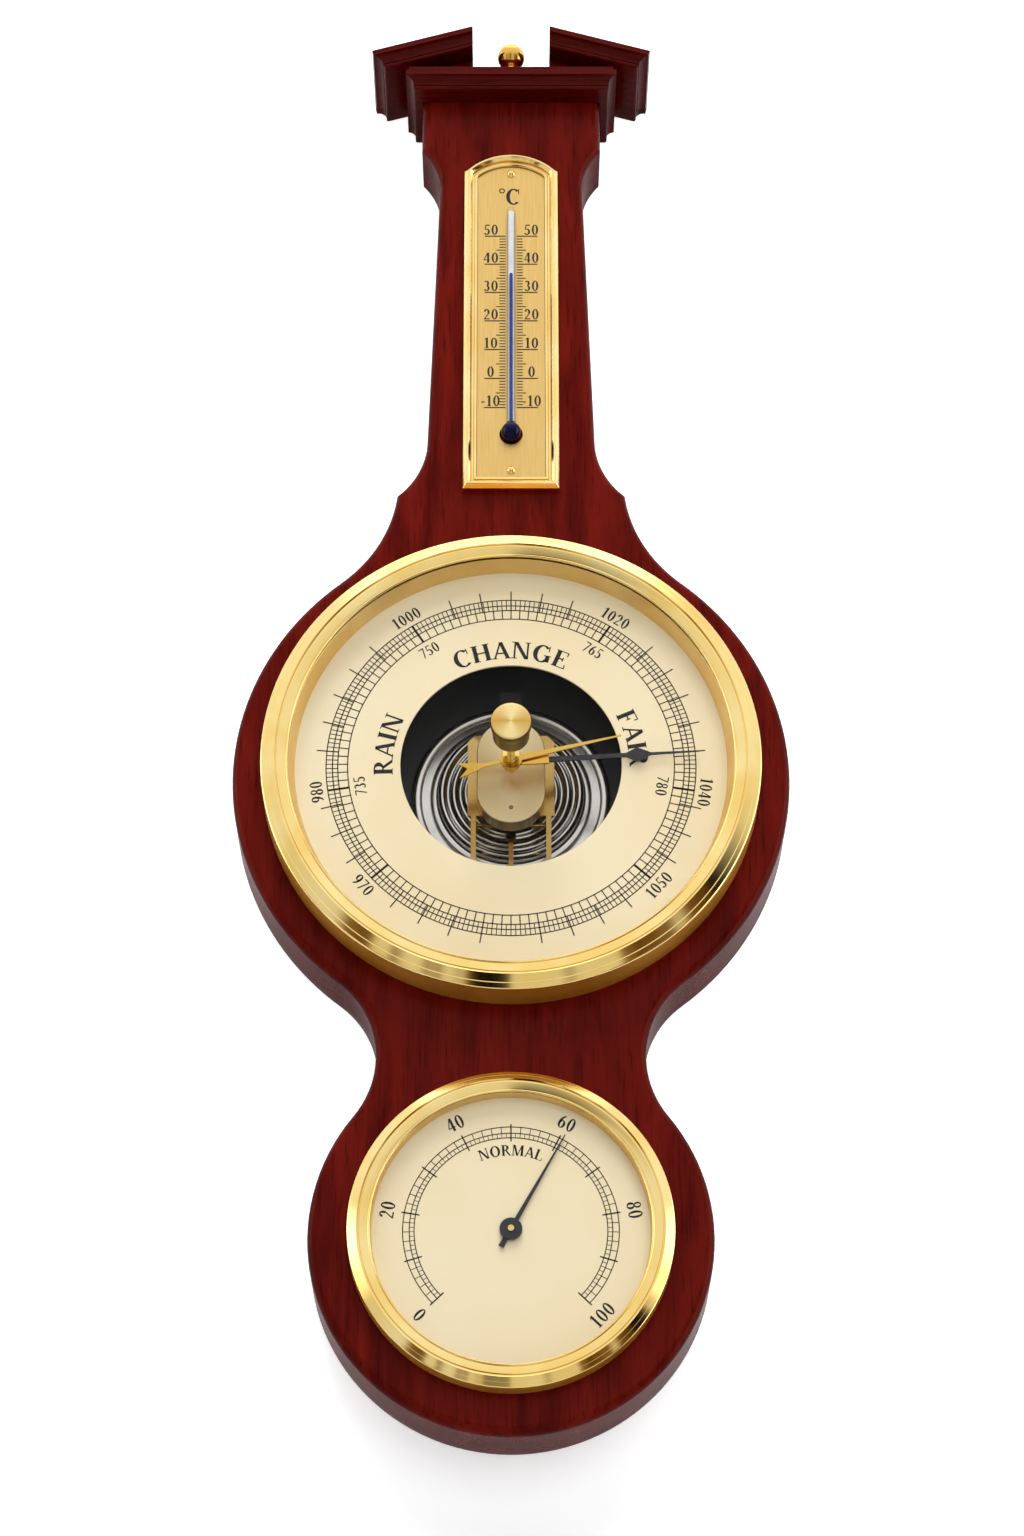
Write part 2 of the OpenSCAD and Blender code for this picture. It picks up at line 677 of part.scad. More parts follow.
module thermometer_pins() color(brass) hang() for (y = pin_ys) translate([0, y, case_t + plate_t]) {
    translate([0, 0, -pin_l]) cylinder(d = pin_d, h = pin_l);
    intersection() {
        sphere(d = pin_head_d);
        cylinder(d = 2 * pin_head_d, h = pin_head_d);
    }
}

// Can with a flange on the case front and an upstand that carries the dial
module can(can_r, flange, seat_z, screw_r) difference() {
    union() {
        translate([0, 0, can_inset]) cylinder(r = can_r, h = case_t - can_inset);
        translate([0, 0, case_t]) cylinder(r = flange, h = sheet_t);
        translate([0, 0, case_t]) cylinder(r = can_r + sheet_t, h = seat_z - case_t);
    }
    translate([0, 0, can_bottom]) cylinder(r = can_r - sheet_t, h = seat_z);
    can_screw_places(screw_r) cylinder(d = screw_d + 2 * run_gap, h = 2 * case_t);
}

module wood_screws(screw_r) can_screw_places(screw_r) translate([0, 0, case_t + sheet_t]) difference() {
    union() {
        translate([0, 0, -wood_screw_l + seat_gap]) cylinder(d = screw_d, h = wood_screw_l);
        cylinder(d = wood_head_d, h = screw_head_h);
    }
    translate([-slot_w / 2, -screw_head_d, screw_head_h / 2])
        cube([slot_w, 2 * screw_head_d, screw_head_h]);
}

// Bezel: straight wall, polished outer band, bead and hollow inner band above the glass
module bezel(r, high, face, wall, web) rotate_extrude() {
    top = case_t + high;
    inner = r - face;
    round_r = wall;
    outer_band = face * 0.52;
    dip = web * 0.55;
    difference() {
        union() {
            translate([r - wall, case_t]) square([wall, high - round_r]);
            translate([inner, top - web]) square([face - round_r, web]);
            translate([r - round_r, top - round_r]) intersection() {
                circle(round_r);
                square(2 * round_r);
            }
        }
        translate([r - outer_band - 0.3, top + 0.15]) circle(0.35);
        polygon([
            [inner - cut, top - dip], [inner, top - dip], [r - outer_band - 1, top], [inner - cut, top + cut]
        ]);
    }
}

module dial_ring(r_out, r_low, r_high, z0, z1) rotate_extrude()
    polygon([[r_low, z0], [r_out, z0], [r_out, z1], [r_high, z1]]);

module main_can() color(black) hang() difference() {
    can(can_d / 2, flange_r, dial_z, main_screw_r);
    cylinder(d = adjust_head_d + 1, h = case_t);
    can_screw_places(base_screw_r) cylinder(d = screw_d + 2 * run_gap, h = case_t);
}
module main_can_screws() color(nickel) hang() wood_screws(main_screw_r);

module movement_base() color(nickel) hang() difference() {
    union() {
        translate([0, 0, can_bottom]) cylinder(d = base_d, h = base_t);
        translate([0, 0, base_top]) ring(base_d / 2, rim_in, base_rim_h);
    }
    cylinder(d = adjust_d + 2 * run_gap, h = case_t);
    can_screw_places(base_screw_r) cylinder(d = screw_d + 2 * run_gap, h = case_t);
}

module movement_screws() color(nickel) hang() can_screw_places(base_screw_r) difference() {
    union() {
        translate([0, 0, can_inset - screw_head_h]) cylinder(d = screw_head_d, h = screw_head_h);
        translate([0, 0, can_inset]) cylinder(d = screw_d, h = sheet_t + base_t - seat_gap);
    }
    translate([-slot_w / 2, -screw_head_d, -cut])
        cube([slot_w, 2 * screw_head_d, cut + can_inset - screw_head_h / 2]);
}

module adjusting_screw() color(brass) hang() difference() {
    union() {
        translate([0, 0, can_inset - adjust_proud])
            cylinder(d = adjust_head_d, h = sheet_t + adjust_proud - move_gap);
        translate([0, 0, can_inset]) cylinder(d = adjust_d, h = base_top - can_inset - move_gap);
    }
    translate([-slot_w / 2, -adjust_head_d, -cut]) cube([slot_w, 2 * adjust_head_d, can_inset + cut]);
}

// Evacuated capsule: a shallow drum whose lid is pressed into rings
module capsule() color(nickel) hang() rotate_extrude() {
    capsule_r = capsule_d / 2;
    inner = post_d / 2 + 1.5;
    steps = wave_n * 8;
    pitch = (capsule_r - inner - 1) / wave_n;
    lid = [for (i = [0:steps]) [inner + pitch * i / 8, capsule_top - wave_h * (1 - cos(45 * i)) / 2]];
    drum = [[0, base_top], [capsule_r, base_top], [capsule_r, capsule_top]];
    polygon(concat(drum, reverse(lid), [[0, capsule_top]]));
}

module capsule_post() color(brass) hang() translate([0, 0, capsule_top]) {
    cylinder(d = post_d + 1.6, h = post_h / 2);
    cylinder(d = post_d, h = post_h);
}

module stadium(w, l) {
    square([w, l - w], center = true);
    for (s = [-1, 1]) translate([0, s * (l - w) / 2]) circle(d = w);
}

// Yoke: bent sheet on three legs, which carries the gear train and the lever's shaft
module yoke() color(brass) hang() difference() {
    union() {
        translate([0, 0, yoke_z]) linear_extrude(yoke_t) {
            clip = yoke_w / 6;
            high = cover_l / 2;
            low = sector_y;
            half = yoke_w / 2;
            polygon([
                [-half, low], [half, low], [half, high - clip], [half - clip, high],
                [clip - half, high], [-half, high - clip]
            ]);
            stadium(cover_w - 1.2, cover_l - 1.2);
            both_sides() translate([leg_x - leg_w / 2, leg_y - leg_w / 2])
                square([leg_w, low - leg_y + cut]);
            translate([-leg_top_w / 2, high - cut]) square([leg_top_w, leg_top_y - high + cut]);
        }
        both_sides() translate([leg_x - leg_w / 2, leg_y - leg_w / 2, base_top + base_rim_h])
            cube([leg_w, leg_w, yoke_rise - base_rim_h + yoke_t]);
        translate([-leg_top_w / 2, leg_top_y - yoke_t, base_top + base_rim_h])
            cube([leg_top_w, yoke_t, yoke_rise - base_rim_h + yoke_t]);
        both_sides() translate([leg_x - ear_t / 2, lever_y - staff_d, yoke_z - ear_drop])
            cube([ear_t, 2 * staff_d, ear_drop + yoke_t]);
    }
    cylinder(d = arbor_d + 2 * run_gap, h = case_t);
    translate([0, sector_y, 0]) cylinder(d = staff_d + 2 * run_gap, h = case_t);
    translate([0, lever_y, lever_z]) rotate([0, 90, 0])
        cylinder(d = staff_d + 2 * run_gap, h = 2 * yoke_w, center = true);
    translate([finger_x, lever_y, yoke_z])
        cube([finger_d + 1.2, 2 * finger_d + 1.6, 3 * yoke_t], center = true);
}

// Gear cover: a brass cap over the sector, pinion and hairspring
module gear_cover() color(satin_brass) hang() difference() {
    union() {
        difference() {
            translate([0, 0, yoke_top]) linear_extrude(cover_h) stadium(cover_w, cover_l);
            translate([0, 0, yoke_top - cut]) linear_extrude(cover_h - cover_t + cut)
                stadium(cover_w - 1.4, cover_l - 1.4);
        }
        translate([spring_out - 0.5, 0, spring_z]) cube([1, 1.2, cover_top - cover_t / 2 - spring_z]);
    }
    cylinder(d = arbor_d + 2 * run_gap, h = 2 * case_t);
    translate([0, sector_y, 0]) cylinder(d = staff_d + 2 * run_gap, h = 2 * case_t);
}

module hairspring() color("steelblue") hang() translate([0, 0, spring_z]) linear_extrude(spring_h)
    polygon(spiral(spring_in, spring_out, spring_n, spring_t));

// One gear tooth standing on the root circle, pointing up
module tooth(pitch_r) polygon([
    [-tooth_w / 2 - tooth_ded / 4, pitch_r - tooth_ded - 0.1], [-tooth_w / 4, pitch_r + tooth_add],
    [tooth_w / 4, pitch_r + tooth_add], [tooth_w / 2 + tooth_ded / 4, pitch_r - tooth_ded - 0.1]
]);

module sector_flat() {
    pitch_a = 360 / sector_n;
    count = ceil((sector_swing + pitch_a) / pitch_a);
    half_a = (count + 0.5) * pitch_a;
    inner_a = half_a - 9;
    root = sector_r - tooth_ded;
    rim_w = 1.4;
    hub_r = staff_d / 2 + 1;
    far = 2 * sector_r;
    difference() {
        intersection() {
            circle(root);
            polygon([[0, 0], far * [sin(half_a), cos(half_a)], far * [-sin(half_a), cos(half_a)]]);
        }
        intersection() {
            difference() {
                circle(root - rim_w);
                circle(hub_r + 1);
            }
            polygon([[0, hub_r], far * [sin(inner_a), cos(inner_a)], far * [-sin(inner_a), cos(inner_a)]]);
        }
    }
    circle(hub_r);
    translate([0, -tail_w / 2]) square([finger_x + finger_d, tail_w]);
    for (i = [-count:count]) rotate(i * pitch_a) tooth(sector_r);
}

module sector() color(brass) hang() translate([0, sector_y, 0]) rotate(-sector_angle) {
    translate([0, 0, sector_z]) linear_extrude(sector_t) sector_flat();
    translate([0, 0, yoke_z]) cylinder(d = staff_d, h = cover_top - yoke_z);
}

// Rocking lever: a shaft in the yoke's ears, a leaf over the capsule and a finger under the sector's tail
module rocking_lever() color(brass) hang() translate([0, lever_y, lever_z]) rotate([-lever_angle, 0, 0]) {
    rotate([0, 90, 0]) cylinder(d = staff_d, h = 2 * leg_x + 2, center = true);
    translate([finger_x, 0, 0]) cylinder(d = finger_d, h = finger_arm + sector_t);
    translate([0, 0, -leaf_t / 2]) linear_extrude(leaf_t) {
        arm = -lever_y - 0.8;
        tail = leaf_w / 2 + lever_y - leg_y;
        translate([-leaf_w / 4, -tail]) square([leaf_w / 2, arm + tail]);
        for (y = [0, arm - leaf_w / 2, -tail]) translate([0, y]) circle(d = leaf_w);
        translate([-leaf_w / 2, -tail / 3]) square([leaf_w, tail / 3 + arm - leaf_w / 2]);
    }
}

module pressure_arbor() color(brass) hang() rotate(-pressure_angle) {
    translate([0, 0, yoke_z]) cylinder(d = arbor_d, h = arbor_top - yoke_z);
    translate([0, 0, pinion_z]) linear_extrude(pinion_t) {
        circle(pinion_r - tooth_ded);
        for (i = [0:pinion_n - 1]) rotate((i + 0.5) * 360 / pinion_n + 180) tooth(pinion_r);
    }
    translate([0, 0, spring_z]) cylinder(r = spring_in - 0.3, h = spring_h);
}

module pressure_hand() color(black) hang() rotate(-pressure_angle) difference() {
    sleeve_l = pressure_l * 0.2;
    lozenge = pressure_l * 0.67;
    union() {
        translate([0, 0, pressure_z]) linear_extrude(hand_t) {
            polygon([
                [-0.9, 0], [-0.6, lozenge - 3], [-2.1, lozenge], [-0.4, lozenge + 3.5], [-0.15, pressure_l],
                [0.15, pressure_l], [0.4, lozenge + 3.5], [2.1, lozenge], [0.6, lozenge - 3], [0.9, 0]
            ]);
        }
        translate([-1.2, 0, pressure_z]) cube([2.4, sleeve_l, 2 * hand_t]);
        translate([0, 0, pressure_z - 0.8]) cylinder(d = hub_d - 1, h = 1.8);
    }
    cylinder(d = arbor_d + run_gap, h = 2 * case_t);
}

module main_dial() color(cream) hang() translate([0, 0, dial_z]) ring(flange_r, opening_d / 2, dial_t);
module main_dial_ring() color(satin_brass) hang()
    dial_ring(glass_r, sight_r - 1.5, sight_r + 0.2, dial_top, glass_z);
module main_glass() color(clear, 0.3) hang() translate([0, 0, glass_z])
    ring(glass_r, bush_r + run_gap, glass_t);
module main_bezel() color(brass) hang() bezel(bezel_r, bezel_h, bezel_face, bezel_wall, web_t);

// Flanged bush in the glass, which carries the knob's stem
module glass_bush() color(brass) hang() rotate_extrude() {
    bore = stem_d / 2 + run_gap;
    translate([bore, glass_z - bush_flange]) square([bush_r - bore, glass_t + 2 * bush_flange]);
    for (z = [glass_z - bush_flange, glass_top]) translate([bore, z])
        square([bush_r - bore + bush_lip, bush_flange]);
}

module set_knob() color(brass) hang() rotate_extrude() {
    r = knob_d / 2;
    skirt_r = r - 0.8;
    groove_z = knob_low + skirt_h;
    cap_z = groove_z + groove_h;
    polygon([
        [0, set_z], [stem_d / 2, set_z], [stem_d / 2, knob_low], [skirt_r, knob_low], [skirt_r, groove_z],
        [r - 1.3, groove_z], [r - 1.3, cap_z], [r, cap_z + 0.3], [r, knob_top - 0.4], [r - 0.4, knob_top],
        [0, knob_top - 0.4]
    ]);
}

module set_hand() color(brass) hang() rotate(-set_angle) difference() {
    union() {
        translate([0, 0, set_z]) linear_extrude(hand_t) {
            polygon([[-0.9, 0], [-0.2, set_l], [0.2, set_l], [0.9, 0]]);
            barb = set_tail * 0.7;
            polygon([
                [-0.4, 0], [0.4, 0], [0.5, -barb + 3], [1.3, -barb], [2.2, -set_tail], [0.2, -barb - 1.8],
                [-0.2, -barb - 1.8], [-2.2, -set_tail], [-1.3, -barb], [-0.5, -barb + 3]
            ]);
        }
        translate([0, 0, set_z]) cylinder(d = hub_d, h = hub_h);
    }
    cylinder(d = stem_d + run_gap, h = 2 * case_t);
}

module hygro_can() color(black) hang() at_foot() difference() {
    can(hygro_can_d / 2, hygro_flange_r, hygro_dial_z, hygro_screw_r);
    for (a = [0:30:330]) rotate(a) translate([hygro_can_d / 3, 0, 0]) cylinder(d = vent_d, h = case_t / 2);
}
module hygro_can_screws() color(nickel) hang() at_foot() wood_screws(hygro_screw_r);

// Strap frame: two bridges joined by posts, which carry the arbor's two ends
module hygro_frame() color(brass) hang() at_foot() difference() {
    union() {
        for (z = [can_bottom, strap_z]) translate([0, 0, z]) linear_extrude(strap_t) rotate(90)
            stadium(strap_w, strap_l);
        for (s = [-1, 1]) translate([s * (strap_l - strap_w) / 2, 0, can_bottom])
            cylinder(d = strap_w / 2, h = strap_z - can_bottom + strap_t);
        translate([coil_out - coil_t, 0, can_bottom]) cube([2, 1.6, coil_z + coil_w - can_bottom]);
    }
    cylinder(d = hygro_arbor_d + 2 * run_gap, h = 2 * case_t);
}

module humidity_coil() color("peru") hang() at_foot() translate([0, 0, coil_z]) linear_extrude(coil_w)
    polygon(spiral(coil_in, coil_out, coil_n, coil_t));

module hygro_arbor() color(brass) hang() at_foot() {
    foot = can_bottom + move_gap;
    translate([0, 0, foot]) cylinder(d = hygro_arbor_d, h = hygro_arbor_top - foot);
    translate([0, 0, coil_z]) cylinder(r = coil_in - coil_t / 2 - 0.2, h = coil_w);
}

module hygro_hand() color(black) hang() at_foot() rotate(-humidity_angle) difference() {
    union() {
        translate([0, 0, hygro_hub_z]) cylinder(d = hygro_hub_d, h = hygro_hub_h);
        translate([0, 0, hygro_hub_z]) linear_extrude(hand_t) polygon([
            [-0.7, -humidity_tail], [0.7, -humidity_tail], [0.5, hygro_hub_d], [0.12, humidity_l],
            [-0.12, humidity_l], [-0.5, hygro_hub_d]
        ]);
    }
    cylinder(d = hygro_arbor_d + run_gap, h = 2 * case_t);
}

module hygro_dial() color(cream) hang() at_foot() translate([0, 0, hygro_dial_z])
    ring(hygro_flange_r, hygro_arbor_d / 2 + 0.4, dial_t);
module hygro_dial_ring() color(satin_brass) hang() at_foot()
    dial_ring(hygro_glass_r, hygro_sight_r - 0.3, hygro_sight_r + 0.2, hygro_dial_top, hygro_glass_z);
module hygro_glass() color(clear, 0.3) hang() at_foot() translate([0, 0, hygro_glass_z])
    cylinder(r = hygro_glass_r, h = hygro_glass_t);
module hygro_bezel() color(brass) hang() at_foot()
    bezel(hygro_r, hygro_h, hygro_face, hygro_wall, hygro_web);

case_board();
cornice_front();
cornice_left();
cornice_right();
pediment_plinth();
tympanum_left();
tympanum_right();
pediment_left();
pediment_right();
pediment_left_return();
pediment_right_return();
finial();
thermometer_frame();
thermometer_plate();
thermometer_tube();
thermometer_spirit();
thermometer_pins();
main_can();
main_can_screws();
movement_base();
movement_screws();
adjusting_screw();
capsule();
capsule_post();
yoke();
gear_cover();
hairspring();
rocking_lever();
sector();
pressure_arbor();
pressure_hand();
main_dial();
main_dial_ring();
main_glass();
glass_bush();
set_knob();
set_hand();
main_bezel();
hygro_can();
hygro_can_screws();
hygro_frame();
humidity_coil();
hygro_arbor();
hygro_hand();
hygro_dial();
hygro_dial_ring();
hygro_glass();
hygro_bezel();
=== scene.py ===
import bpy
import json
from functools import partial
from math import acos, asin, atan2, cos, degrees, dist, pi, radians, sin, sqrt
from mathutils import Matrix, Vector

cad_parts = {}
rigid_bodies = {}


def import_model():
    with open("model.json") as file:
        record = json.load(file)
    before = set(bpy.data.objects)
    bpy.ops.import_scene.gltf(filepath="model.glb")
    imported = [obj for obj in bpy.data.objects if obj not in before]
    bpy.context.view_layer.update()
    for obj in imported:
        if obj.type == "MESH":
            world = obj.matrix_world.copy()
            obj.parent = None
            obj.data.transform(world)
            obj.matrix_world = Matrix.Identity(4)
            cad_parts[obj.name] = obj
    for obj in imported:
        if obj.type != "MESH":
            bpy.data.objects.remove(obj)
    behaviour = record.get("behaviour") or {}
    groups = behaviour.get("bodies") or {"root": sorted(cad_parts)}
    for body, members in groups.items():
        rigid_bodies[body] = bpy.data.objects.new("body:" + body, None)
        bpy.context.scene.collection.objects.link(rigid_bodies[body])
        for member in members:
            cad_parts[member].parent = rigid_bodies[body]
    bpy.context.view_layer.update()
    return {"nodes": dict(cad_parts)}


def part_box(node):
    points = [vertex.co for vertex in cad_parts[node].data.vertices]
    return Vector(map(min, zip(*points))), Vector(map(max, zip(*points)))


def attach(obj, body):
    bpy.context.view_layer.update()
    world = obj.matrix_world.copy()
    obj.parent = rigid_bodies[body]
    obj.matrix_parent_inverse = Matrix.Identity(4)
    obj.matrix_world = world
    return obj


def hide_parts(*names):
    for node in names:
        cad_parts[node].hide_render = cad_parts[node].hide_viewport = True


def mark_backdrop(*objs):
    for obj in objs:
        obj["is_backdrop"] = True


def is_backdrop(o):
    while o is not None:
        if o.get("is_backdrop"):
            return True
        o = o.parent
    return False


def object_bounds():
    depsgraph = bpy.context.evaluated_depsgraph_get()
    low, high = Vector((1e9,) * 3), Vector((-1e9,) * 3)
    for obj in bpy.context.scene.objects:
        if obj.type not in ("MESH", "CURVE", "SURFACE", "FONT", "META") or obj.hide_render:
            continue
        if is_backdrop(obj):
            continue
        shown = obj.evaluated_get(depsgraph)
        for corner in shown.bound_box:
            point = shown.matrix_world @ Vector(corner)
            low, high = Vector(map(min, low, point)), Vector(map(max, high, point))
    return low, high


bpy.ops.object.select_all(action="SELECT")
bpy.ops.object.delete()
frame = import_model()
print("frame loaded:", len(frame["nodes"]), "solids")

# Pieces are drawn on a bench in millimetres: x right, y up from the main dial's centre, z out of the wall
bench = {"hangRise": 150, "dialGap": 127.3, "boardThick": 20}
benchToWall = (
    Matrix.Translation((0, 0, -bench["hangRise"] / 1000))
    @ Matrix.Rotation(pi / 2, 4, "X")
    @ Matrix.Scale(0.001, 4)
)
footCentre = (0, -bench["dialGap"])
dials = (("main", (0, 0)), ("hygro", footCentre))
# Merging distances on the bench and on CAD copies, and the degrees of a flat and of an edge
shop = {"seam": 0.001, "copySeam": 0.000005, "flat": 2, "sharp": 34}


def toMode(mode):
    bpy.ops.object.mode_set(mode=mode)


def selectAll():
    bpy.ops.mesh.select_all(action="SELECT")


def extrudeBy(way):
    bpy.ops.mesh.extrude_region_move(TRANSFORM_OT_translate={"value": way})


def deselect():
    if bpy.context.mode != "OBJECT":
        toMode("OBJECT")
    bpy.ops.object.select_all(action="DESELECT")


def pickOnly(piece):
    deselect()
    piece.select_set(True)
    bpy.context.view_layer.objects.active = piece


# A chain of edges drawn from point to point, left in edit mode with its last point selected
def drawLine(name, points):
    deselect()
    bpy.ops.mesh.primitive_plane_add(size=1, location=(0, 0, 0))
    piece = bpy.context.object
    piece.name = name
    piece.data.name = name
    toMode("EDIT")
    bpy.ops.mesh.select_mode(type="VERT")
    selectAll()
    bpy.ops.mesh.merge(type="CENTER")
    bpy.ops.transform.translate(value=points[0])
    for here, there in zip(points, points[1:]):
        extrudeBy(Vector(there) - Vector(here))
    return piece


def closeSeams():
    selectAll()
    bpy.ops.mesh.remove_doubles(threshold=shop["seam"])
    selectAll()
    bpy.ops.mesh.normals_make_consistent(inside=False)


def arc(centre, radius, start, stop, steps):
    turns = [radians(start + (stop - start) * i / steps) for i in range(steps + 1)]
    return [(centre[0] + radius * cos(t), centre[1] + radius * sin(t)) for t in turns]


def bothSides(half):
    return list(half) + [(-x, y) for x, y in reversed(half) if abs(x) > 1e-6]


def stepped(place, steps):
    return [(place[0] + x, place[1] + y) for x, y in steps]


def turnAbout(name, points, steps, centre, axis):
    piece = drawLine(name, points)
    selectAll()
    bpy.ops.mesh.spin(steps=steps, angle=2 * pi, center=centre, axis=axis)
    closeSeams()
    return piece


# Turned work: an outline (radius, height) spun round an axis out of the wall
def turnPiece(name, outline, centre=(0, 0), steps=128):
    points = [(centre[0] + r, centre[1], z) for r, z in outline]
    return turnAbout(name, points, steps, (*centre, 0), (0, 0, 1))


# The same round an upright axis at height z over the wall
def turnUpright(name, outline, axisZ, steps=48):
    points = [(r, y, axisZ) for r, y in outline]
    return turnAbout(name, points, steps, (0, 0, axisZ), (0, 1, 0))


# A closed outline with a face in it, left in edit mode
def fillOutline(name, points):
    piece = drawLine(name, points)
    selectAll()
    bpy.ops.mesh.edge_face_add()
    return piece


# Sawn work: a filled outline extruded from low to high, its front edge rounded over
def sawPiece(name, outline, low, high, edge=0, segments=3):
    piece = fillOutline(name, [(x, y, low) for x, y in outline])
    extrudeBy((0, 0, high - low))
    if edge:
        bpy.ops.mesh.select_mode(type="FACE")
        bpy.ops.mesh.region_to_loop()
        bpy.ops.mesh.bevel(offset=edge, offset_type="OFFSET", segments=segments, profile=0.5, affect="EDGES")
    closeSeams()
    return piece


# Lofted work: a closed loop extruded from section to section
def loftLoops(name, loops):
    piece = fillOutline(name, loops[0])
    bpy.ops.mesh.delete(type="ONLY_FACE")
    selectAll()
    for last, loop in zip(loops, loops[1:]):
        extrudeBy((0, 0, 0))
        toMode("OBJECT")
        for vertex in (v for v in piece.data.vertices if v.select):
            match = min(range(len(last)), key=lambda i: (Vector(last[i]) - vertex.co).length)
            vertex.co = loop[match]
        toMode("EDIT")
    closeSeams()
    return piece


def joinPieces(pieces):
    pickOnly(pieces[0])
    for piece in pieces:
        piece.select_set(True)
    bpy.ops.object.join()
    return pieces[0]


def applyModifier(piece, kind, **settings):
    pickOnly(piece)
    bpy.ops.object.modifier_add(type=kind)
    modifier = piece.modifiers[-1]
    for key, value in settings.items():
        setattr(modifier, key, value)
    bpy.ops.object.modifier_apply(modifier=modifier.name)


def cutAway(piece, cutter):
    applyModifier(piece, "BOOLEAN", operation="DIFFERENCE", solver="EXACT", object=cutter)
    pickOnly(cutter)
    bpy.ops.object.delete()


# A cylinder to cut with
def drillBit(name, radius, low, high, centre, steps=128):
    return turnPiece(name, ((0, low), (radius, low), (radius, high), (0, high)), centre, steps)


def standOnWall(piece):
    piece.matrix_world = benchToWall
    bpy.ops.object.transform_apply(location=True, rotation=True, scale=True)


def dressPiece(piece, body, finish):
    piece.data.materials.clear()
    piece.data.materials.append(finish)
    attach(piece, body)


# Each piece's last steps: soft edges, place on the wall, smooth shading, finish and body
def hangPiece(piece, finish, node=None, body="case", edge=0, segments=2, smooth=35, onBench=True):
    pickOnly(piece)
    if edge:
        applyModifier(piece, "BEVEL", width=edge, segments=segments, limit_method="ANGLE",
                      angle_limit=radians(shop["sharp"]), use_clamp_overlap=True)
    if onBench:
        standOnWall(piece)
    bpy.ops.object.shade_smooth_by_angle(angle=radians(smooth))
    applyModifier(piece, "WEIGHTED_NORMAL", keep_sharp=True)
    dressPiece(piece, body, finish)
    if node:
        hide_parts(node)
    return piece


# A copy of a CAD solid with its triangles merged, so that its edges can be softened
def dressCopy(name, node, body, slot, finish, edge, segments=2):
    deselect()
    piece = bpy.data.objects.new(name, frame["nodes"][node].data.copy())
    bpy.context.scene.collection.objects.link(piece)
    pickOnly(piece)
    toMode("EDIT")
    selectAll()
    bpy.ops.mesh.remove_doubles(threshold=shop["copySeam"])
    bpy.ops.mesh.dissolve_limited(angle_limit=radians(shop["flat"]))
    toMode("OBJECT")
    return hangPiece(piece, finish, node, body, edge / 1000, segments, onBench=False)


# A second finish on the faces that a test chooses
def paintFaces(piece, finish, chosen):
    piece.data.materials.append(finish)
    for face in piece.data.polygons:
        face.material_index = int(chosen(face))


# A second finish on the side of a plane that its normal points to
def paintBeyond(piece, finish, place, normal):
    pickOnly(piece)
    toMode("EDIT")
    selectAll()
    bpy.ops.mesh.bisect(plane_co=place, plane_no=normal)
    toMode("OBJECT")
    paintFaces(piece, finish, lambda face: (face.center - place).dot(normal) > 0)


def linearColour(hexCode):
    parts = [int(hexCode[i:i + 2], 16) / 255 for i in (1, 3, 5)]
    return [p / 12.92 if p <= 0.04045 else ((p + 0.055) / 1.055) ** 2.4 for p in parts] + [1]


def outOf(source):
    return next(s for s in source.outputs if s.enabled) if hasattr(source, "outputs") else source


# A link comes from a socket or a node's first output in use; to is the input that the new node feeds
def addNode(tree, kind, values=None, links=None, settings=None, stops=None, to=None):
    node = tree.nodes.new("ShaderNode" + kind)
    for key, value in (settings or {}).items():
        setattr(node, key, value)
    for key, value in (values or {}).items():
        node.inputs[key].default_value = value
    for key, source in (links or {}).items():
        tree.links.new(outOf(source), node.inputs[key])
    for i, (place, shade) in enumerate(stops or ()):
        stop = node.color_ramp.elements[i] if i < 2 else node.color_ramp.elements.new(place)
        stop.position = place
        stop.color = linearColour(shade)
    if to:
        tree.links.new(outOf(node), to[0].inputs[to[1]])
    return node


def rangeOf(ends):
    return dict(zip(("From Min", "From Max", "To Min", "To Max"), ends))


# Clears the nodes of a material or world, and gives the function that adds to them
def newNodes(holder):
    holder.use_nodes = True
    holder.node_tree.nodes.clear()
    return partial(addNode, holder.node_tree)


def newFinish(name, **values):
    finish = bpy.data.materials.new(name)
    add = newNodes(finish)
    shader = add("BsdfPrincipled", values)
    add("OutputMaterial", links={"Surface": shader})
    return finish, add, shader, add("TexCoord").outputs["Object"]


# Lacquered mahogany: deep red stain under gloss lacquer, dark pores about 1 mm apart that run with the grain
def mahoganyFinish(name, pores, figure, stain, gloss):
    finish, add, shader, spot = newFinish(name, Roughness=0.22, IOR=1.5, **{"Specular IOR Level": gloss})
    along = add("Mapping", {"Scale": figure}, {"Vector": spot})
    bands = add("TexNoise", {"Scale": 1, "Detail": 5, "Distortion": 0.8}, {"Vector": along})
    tone = add("ValToRGB", links={"Fac": bands}, stops=stain)
    fine = add("Mapping", {"Scale": pores}, {"Vector": spot})
    grain = add("TexNoise", {"Scale": 1, "Detail": 4, "Roughness": 0.6}, {"Vector": fine})
    dark = add("ValToRGB", links={"Fac": grain},
               stops=((0.33, "#a89c99"), (0.46, "#f4f0ee"), (0.75, "#ffffff")))
    add("Mix", {0: 0.85}, {6: tone, 7: dark}, {"data_type": "RGBA", "blend_type": "MULTIPLY"},
        to=(shader, "Base Color"))
    add("Bump", {"Strength": 0.05, "Distance": 0.0001}, {"Height": grain}, to=(shader, "Normal"))
    return finish


caseStain = ((0.3, "#4c0905"), (0.5, "#5e1008"), (0.7, "#6c160d"))
# Moulding stain, darker than the case's: painted shade, as the mouldings face down and take less light
acrossStainWithShade = ((0.3, "#3a0503"), (0.52, "#4f0904"), (0.72, "#440603"))
mahogany = mahoganyFinish("lacqueredMahogany", (1300, 1300, 75), (150, 150, 22), caseStain, 0.035)
acrossGrainWithShade = mahoganyFinish("lacqueredMahoganyAcrossWithShade", (75, 1300, 1300), (7, 60, 60), acrossStainWithShade, 0.075)


